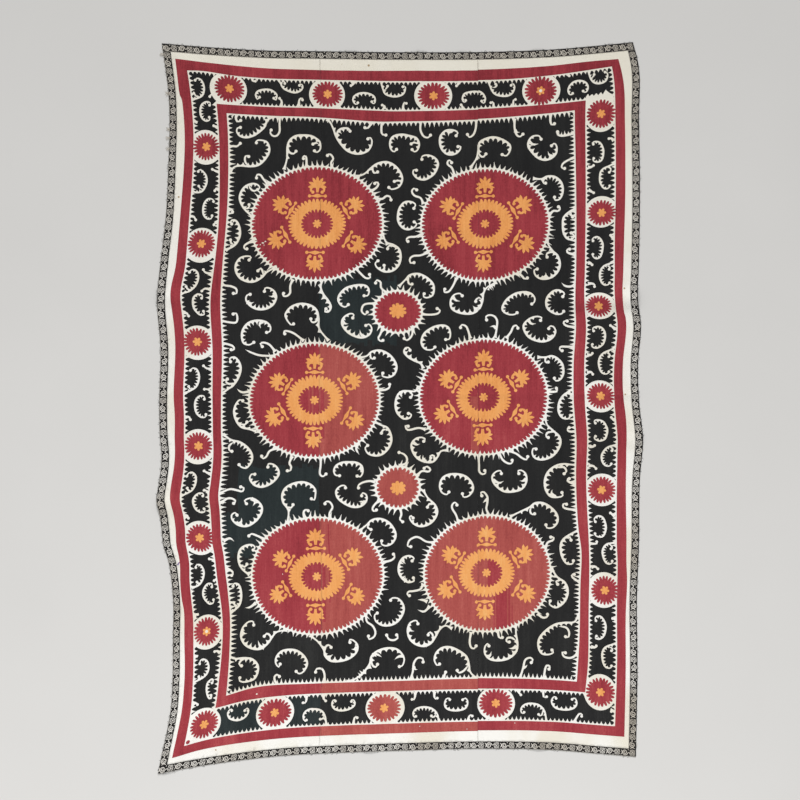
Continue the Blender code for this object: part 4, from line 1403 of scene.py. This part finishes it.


# The second colour is both the cotton's wear and the painted shade at the top of the cloth.
ground = cotton(
    "white_cotton_ground", linear(252, 250, 244), linear(240, 234, 218), linear(176, 150, 116), STAINS, INKED)
black = thread("black_thread", linear(19, 19, 20), linear(30, 30, 30), linear(47, 47, 46), 0.05)
pale_black = thread(
    "faded_green_black_thread", linear(23, 31, 33), linear(34, 43, 44), linear(50, 58, 58), 0.05)
crimson = thread("madder_crimson_thread", linear(135, 37, 47), linear(165, 55, 64), linear(189, 84, 86))
brick = thread("faded_brick_thread", linear(152, 60, 58), linear(178, 82, 76), linear(200, 108, 98))
orange = thread("apricot_thread", linear(231, 149, 78), linear(248, 172, 98), linear(254, 196, 126))
# For the printed cotton too, the second colour is both wear and the painted shade towards the top.
print_black = cotton("printed_black_cotton", linear(20, 18, 18), linear(36, 33, 31), linear(74, 67, 60))
print_white = cotton(
    "printed_pale_cotton", linear(238, 234, 226), linear(208, 200, 186), linear(150, 138, 120))
threads = [ground, black, crimson, orange, brick, pale_black]

# The three loom widths.
half_gap = SEAM_GAP / 2
inner_u = CLOTH_WIDTH / 2 - EDGING_WIDTH
inner_v = CLOTH_LENGTH / 2 - EDGING_WIDTH
PANELS = (
    ("embroidered_left_width", "panel_left", -inner_u + half_gap, LEFT_SEAM - half_gap,
     (0, 0), "edging_left"),
    ("embroidered_middle_width", "panel_middle", LEFT_SEAM + half_gap, RIGHT_SEAM - half_gap,
     (0, 0), "panel_left"),
    ("embroidered_right_width", "panel_right", RIGHT_SEAM + half_gap, inner_u - half_gap,
     (0, 2), "edging_right"),
)
for name, node, left, right, jog, beside in PANELS:
    piece = cloth_piece(name, (left, -inner_v + half_gap), (right, inner_v - half_gap), drawn, threads,
                        CLOTH_THICKNESS, STITCH_RISE, jog=jog)
    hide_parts(node)
    (right - left) / 1000


# The printed edging: a running row of tailed spirals, with knots of four rings between them.
MOTIF_PITCH = 50.0


def arc(centre, start, end, radii, wide, count):
    """A band along a spiral from one turn to another. Its radius goes from the first of radii to the second."""
    turn = np.linspace(start, end, count)
    out = np.linspace(radii[0], radii[1], count)
    way = np.column_stack([np.cos(turn), np.sin(turn)])
    outer, inner = [centre + way * (out + side * wide / 2)[:, None] for side in (1, -1)]
    return np.vstack([outer, inner[::-1]])


def printed_row(length):
    """The print along one strip, from its middle, with the cloth's edge below."""
    shapes = []
    for k in range(int(length / MOTIF_PITCH) + 1):
        at = -length / 2 + (k + 0.5) * MOTIF_PITCH + chance.uniform(-1, 1)
        way = 1 if k % 2 else -1
        spiral = arc((0, 0), 0.2, 3.6 * math.pi, (9.6, 1.9), 2.3, 34)
        tail = arc((-17.5, 0), -0.3 * math.pi, 0.35 * math.pi, (9.0, 8.0), 1.9, 8)
        hook = arc((12.5, 4.0), 0.9 * math.pi, 2.0 * math.pi, (4.0, 3.4), 1.9, 8)
        for outline in (spiral, tail, hook):
            shapes.append((1, outline * (1, way) + (at - 12.5, chance.uniform(-0.6, 0.6))))
        for du, dv in ((8, 5.4), (17, 5.4), (8, -5.4), (17, -5.4)):
            middle = np.array((at + du, dv)) + chance.uniform(-0.5, 0.5, 2)
            shapes.append((1, arc(middle, 0, 1.96 * math.pi, (2.9, 2.9), 1.7, 9)))
        for du, dv, half in ((12.5, 0, 2.6), (20.5, 0, 1.7), (4.6, 0, 1.7), (12.5, 9, 1.3), (12.5, -9, 1.3),
                             (-1.5, -9 * way, 1.8)):
            middle = np.array((at + du, dv)) + chance.uniform(-0.4, 0.4, 2)
            shapes.append((1, middle + half * np.array(((1, 0), (0, 1), (-1, 0), (0, -1)))))
    edge = np.linspace(-length / 2, length / 2, int(length / 25))
    low, high = [np.column_stack([edge, np.full(len(edge), aside)]) for aside in (-11.9, -11.2)]
    shapes.append((1, np.vstack([low, high[::-1]])))
    return shapes


mid_u = CLOTH_WIDTH / 2 - EDGING_WIDTH / 2
mid_v = CLOTH_LENGTH / 2 - EDGING_WIDTH / 2
half_u, half_v = CLOTH_WIDTH / 2, CLOTH_LENGTH / 2
side_low, side_high = -inner_v + half_gap, inner_v - half_gap
# Columns: its side, its lowest and highest (u, v), whether it runs upright, its middle, and what it rests on.
STRIPS = (
    ("left", (-half_u, side_low), (-inner_u - half_gap, side_high), True, -mid_u, "panel_left"),
    ("right", (inner_u + half_gap, side_low), (half_u, side_high), True, mid_u, "panel_right"),
    ("bottom", (-half_u, -half_v), (half_u, -inner_v - half_gap), False, -mid_v, "panel_left"),
    ("top", (-half_u, inner_v + half_gap), (half_u, half_v), False, mid_v, "panel_left"),
)
for side, low, high, upright, middle, beside in STRIPS:
    length = (high[1] - low[1]) if upright else (high[0] - low[0])
    shapes = []
    for colour, outline in printed_row(length):
        if upright:
            outline = np.column_stack([middle + outline[:, 1], outline[:, 0]])
        else:
            outline = outline + (0, middle)
        shapes.append((colour, outline))
    piece = cloth_piece("printed_edging_" + side, low, high, shapes, [print_black, print_white],
                        EDGING_THICKNESS, PRINT_RISE, pitch=9)
    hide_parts("edging_" + side)
    flat = ((high[0] - low[0]) / 1000, (high[1] - low[1]) / 1000)


def strands(name, lines, radius, materials):
    """Fine three-sided threads, joined in one piece. Each line is its material's number and its points."""
    points, faces, slots = [], [], []
    for slot, line in lines:
        way = np.gradient(line, axis=0)
        way /= np.maximum(np.linalg.norm(way, axis=1), 1e-9)[:, None]
        across = np.cross(way, (0, 0, 1.0))
        across /= np.maximum(np.linalg.norm(across, axis=1), 1e-9)[:, None]
        up = np.cross(across, way)
        base = len(points)
        for k in range(3):
            turn = k * 2 * math.pi / 3 + math.pi / 2
            points.extend((line + radius * (across * math.cos(turn) + up * math.sin(turn))).tolist())
        count = len(line)
        for k in range(3):
            here, there = base + k * count, base + (k + 1) % 3 * count
            faces += [(here + i, here + i + 1, there + i + 1, there + i) for i in range(count - 1)]
        last = base + count - 1
        faces += [(base, base + count, base + 2 * count), (last, last + 2 * count, last + count)]
        slots += [slot] * (3 * (count - 1) + 2)
    mesh = bpy.data.meshes.new(name)
    mesh.from_pydata(points, [], faces)
    for material in materials:
        mesh.materials.append(material)
    mesh.polygons.foreach_set("material_index", np.array(slots, np.int32))
    mesh.update()
    piece = bpy.data.objects.new(name, mesh)
    bpy.context.scene.collection.objects.link(piece)
    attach(piece, "root")
    return piece


def running(first, last, pitch, reach, rise):
    """Small arched stitches from first to last on the flat cloth; reach is (u, v) from end to end of each."""
    first, last = np.array(first, float), np.array(last, float)
    made = []
    for share in np.arange(pitch / 2, np.linalg.norm(last - first), pitch) / np.linalg.norm(last - first):
        middle = first + (last - first) * share + chance.uniform(-0.5, 0.5, 2)
        part = np.array((-0.5, -0.2, 0.2, 0.5))[:, None]
        spot = middle + part * np.array(reach)
        made.append(laid(spot[:, 0], spot[:, 1], rise + np.array((-0.3, 0.25, 0.25, -0.3))))
    return made


# Small stitches hold the loom widths and the edging together.
stitched = []
for seam in (LEFT_SEAM, RIGHT_SEAM):
    for first, last in ((-inner_v + 3, -1096), (1092, inner_v - 3)):
        stitched += running((seam, first), (seam, last), 6, (3.6, 1.4), CLOTH_THICKNESS + 0.35)
for u in (-inner_u, inner_u):
    stitched += running((u, -inner_v + 3), (u, inner_v - 3), 8, (1.6, 4.4), CLOTH_THICKNESS + 0.35)
for v in (-inner_v, inner_v):
    stitched += running((-inner_u + 3, v), (inner_u - 3, v), 8, (4.4, 1.6), CLOTH_THICKNESS + 0.35)
# Loose ends stand out of the frayed edge, most of them dark and some pale.
frayed = []
for u_side, v_side, count in ((-1, 0, 210), (1, 0, 170), (0, -1, 120), (0, 1, 110)):
    for k in range(count):
        along = chance.uniform(-0.99, 0.99)
        u = u_side * CLOTH_WIDTH / 2 if u_side else along * CLOTH_WIDTH / 2
        v = v_side * CLOTH_LENGTH / 2 if v_side else along * CLOTH_LENGTH / 2
        length, drift = chance.uniform(2.5, 7), chance.uniform(-8, 8)
        root = laid(np.array([u - u_side * 1.5]), np.array([v - v_side * 1.5]), 1.3)[0]
        t = np.linspace(0, 1, 6)
        out = (1.5 + length) * t - length * 0.35 * t ** 3
        aside = drift * t ** 2
        line = root + np.column_stack([
            u_side * out + (v_side != 0) * aside, v_side * out + (u_side != 0) * aside, -0.9 * t]) / 1000
        frayed.append((int(chance.uniform() < 0.3), line))
# Pale tufts on the left edge.
for middle in (1113, 989, 874, 846, 812):
    for k in range(12):
        root = laid(np.array([-CLOTH_WIDTH / 2 + 2]), np.array([middle + chance.uniform(-5, 5)]), 1.4)[0]
        t = np.linspace(0, 1, 6)
        out, aside = chance.uniform(7, 15) * t, chance.uniform(-7, 7) * t ** 2
        frayed.append((1, root + np.column_stack([-out, aside, 1.5 * np.sin(t * math.pi) - 0.8 * t]) / 1000))
strands("joining_stitches", [(0, line) for line in stitched], 0.0004, [print_white])
strands("frayed_edge_threads", frayed, 0.0003, [print_black, print_white])

# The floor, the lights and the camera.
floor_paint = Paint("pale_floor", 0.9, 0.0)
floor_cloud = floor_paint.noise(2, (1, 1, 1), 3.0)
floor_colour = floor_paint.mix(floor_cloud, (0.68, 0.67, 0.65), (0.72, 0.71, 0.69))
floor_paint.finish(floor_colour, 0.9, floor_cloud, 0.0001)
floor_mesh = bpy.data.meshes.new("floor")
floor_mesh.from_pydata([(-8, -8, 0), (8, -8, 0), (8, 8, 0), (-8, 8, 0)], [], [(0, 1, 2, 3)])
floor_mesh.materials.append(floor_paint.material)
floor = bpy.data.objects.new("floor", floor_mesh)
bpy.context.scene.collection.objects.link(floor)

def lamp(name, kind, place, energy):
    """A light that looks at the middle of the cloth."""
    light = bpy.data.lights.new(name, kind)
    light.energy = energy
    holder = bpy.data.objects.new(name, light)
    holder.location = place
    holder.rotation_euler = (-Vector(place)).to_track_quat("-Z", "Y").to_euler()
    bpy.context.scene.collection.objects.link(holder)
    return light


lamp("low_soft_key", "SUN", (0.5, 4.0, 2.3), 1.75).angle = 0.25
fill = lamp("soft_fill", "AREA", (-0.4, -2.8, 3.8), 84)
fill.shape = "SQUARE"
fill.size = 3.0
world = bpy.data.worlds.new("studio")
world.use_nodes = True
world.node_tree.nodes["Background"].inputs["Color"].default_value = (1, 1, 1, 1)
world.node_tree.nodes["Background"].inputs["Strength"].default_value = 0.42
bpy.context.scene.world = world
bpy.context.scene.view_settings.view_transform = "Standard"

# The camera looks straight down on a point that is a little off the cloth's middle.
PIXEL = 0.003263
VIEW_WIDTH = 2.6104
CAMERA_HEIGHT = 9.0
camera = bpy.data.cameras.new("camera")
camera.sensor_width = 36
camera.lens = 36 * CAMERA_HEIGHT / VIEW_WIDTH
camera.clip_end = 50
eye = bpy.data.objects.new("camera", camera)
eye.location = (-1.5 * PIXEL - SHIFT_X / 1000, 0.5 * PIXEL - SHIFT_Y / 1000, CAMERA_HEIGHT)
bpy.context.scene.collection.objects.link(eye)
bpy.context.scene.camera = eye
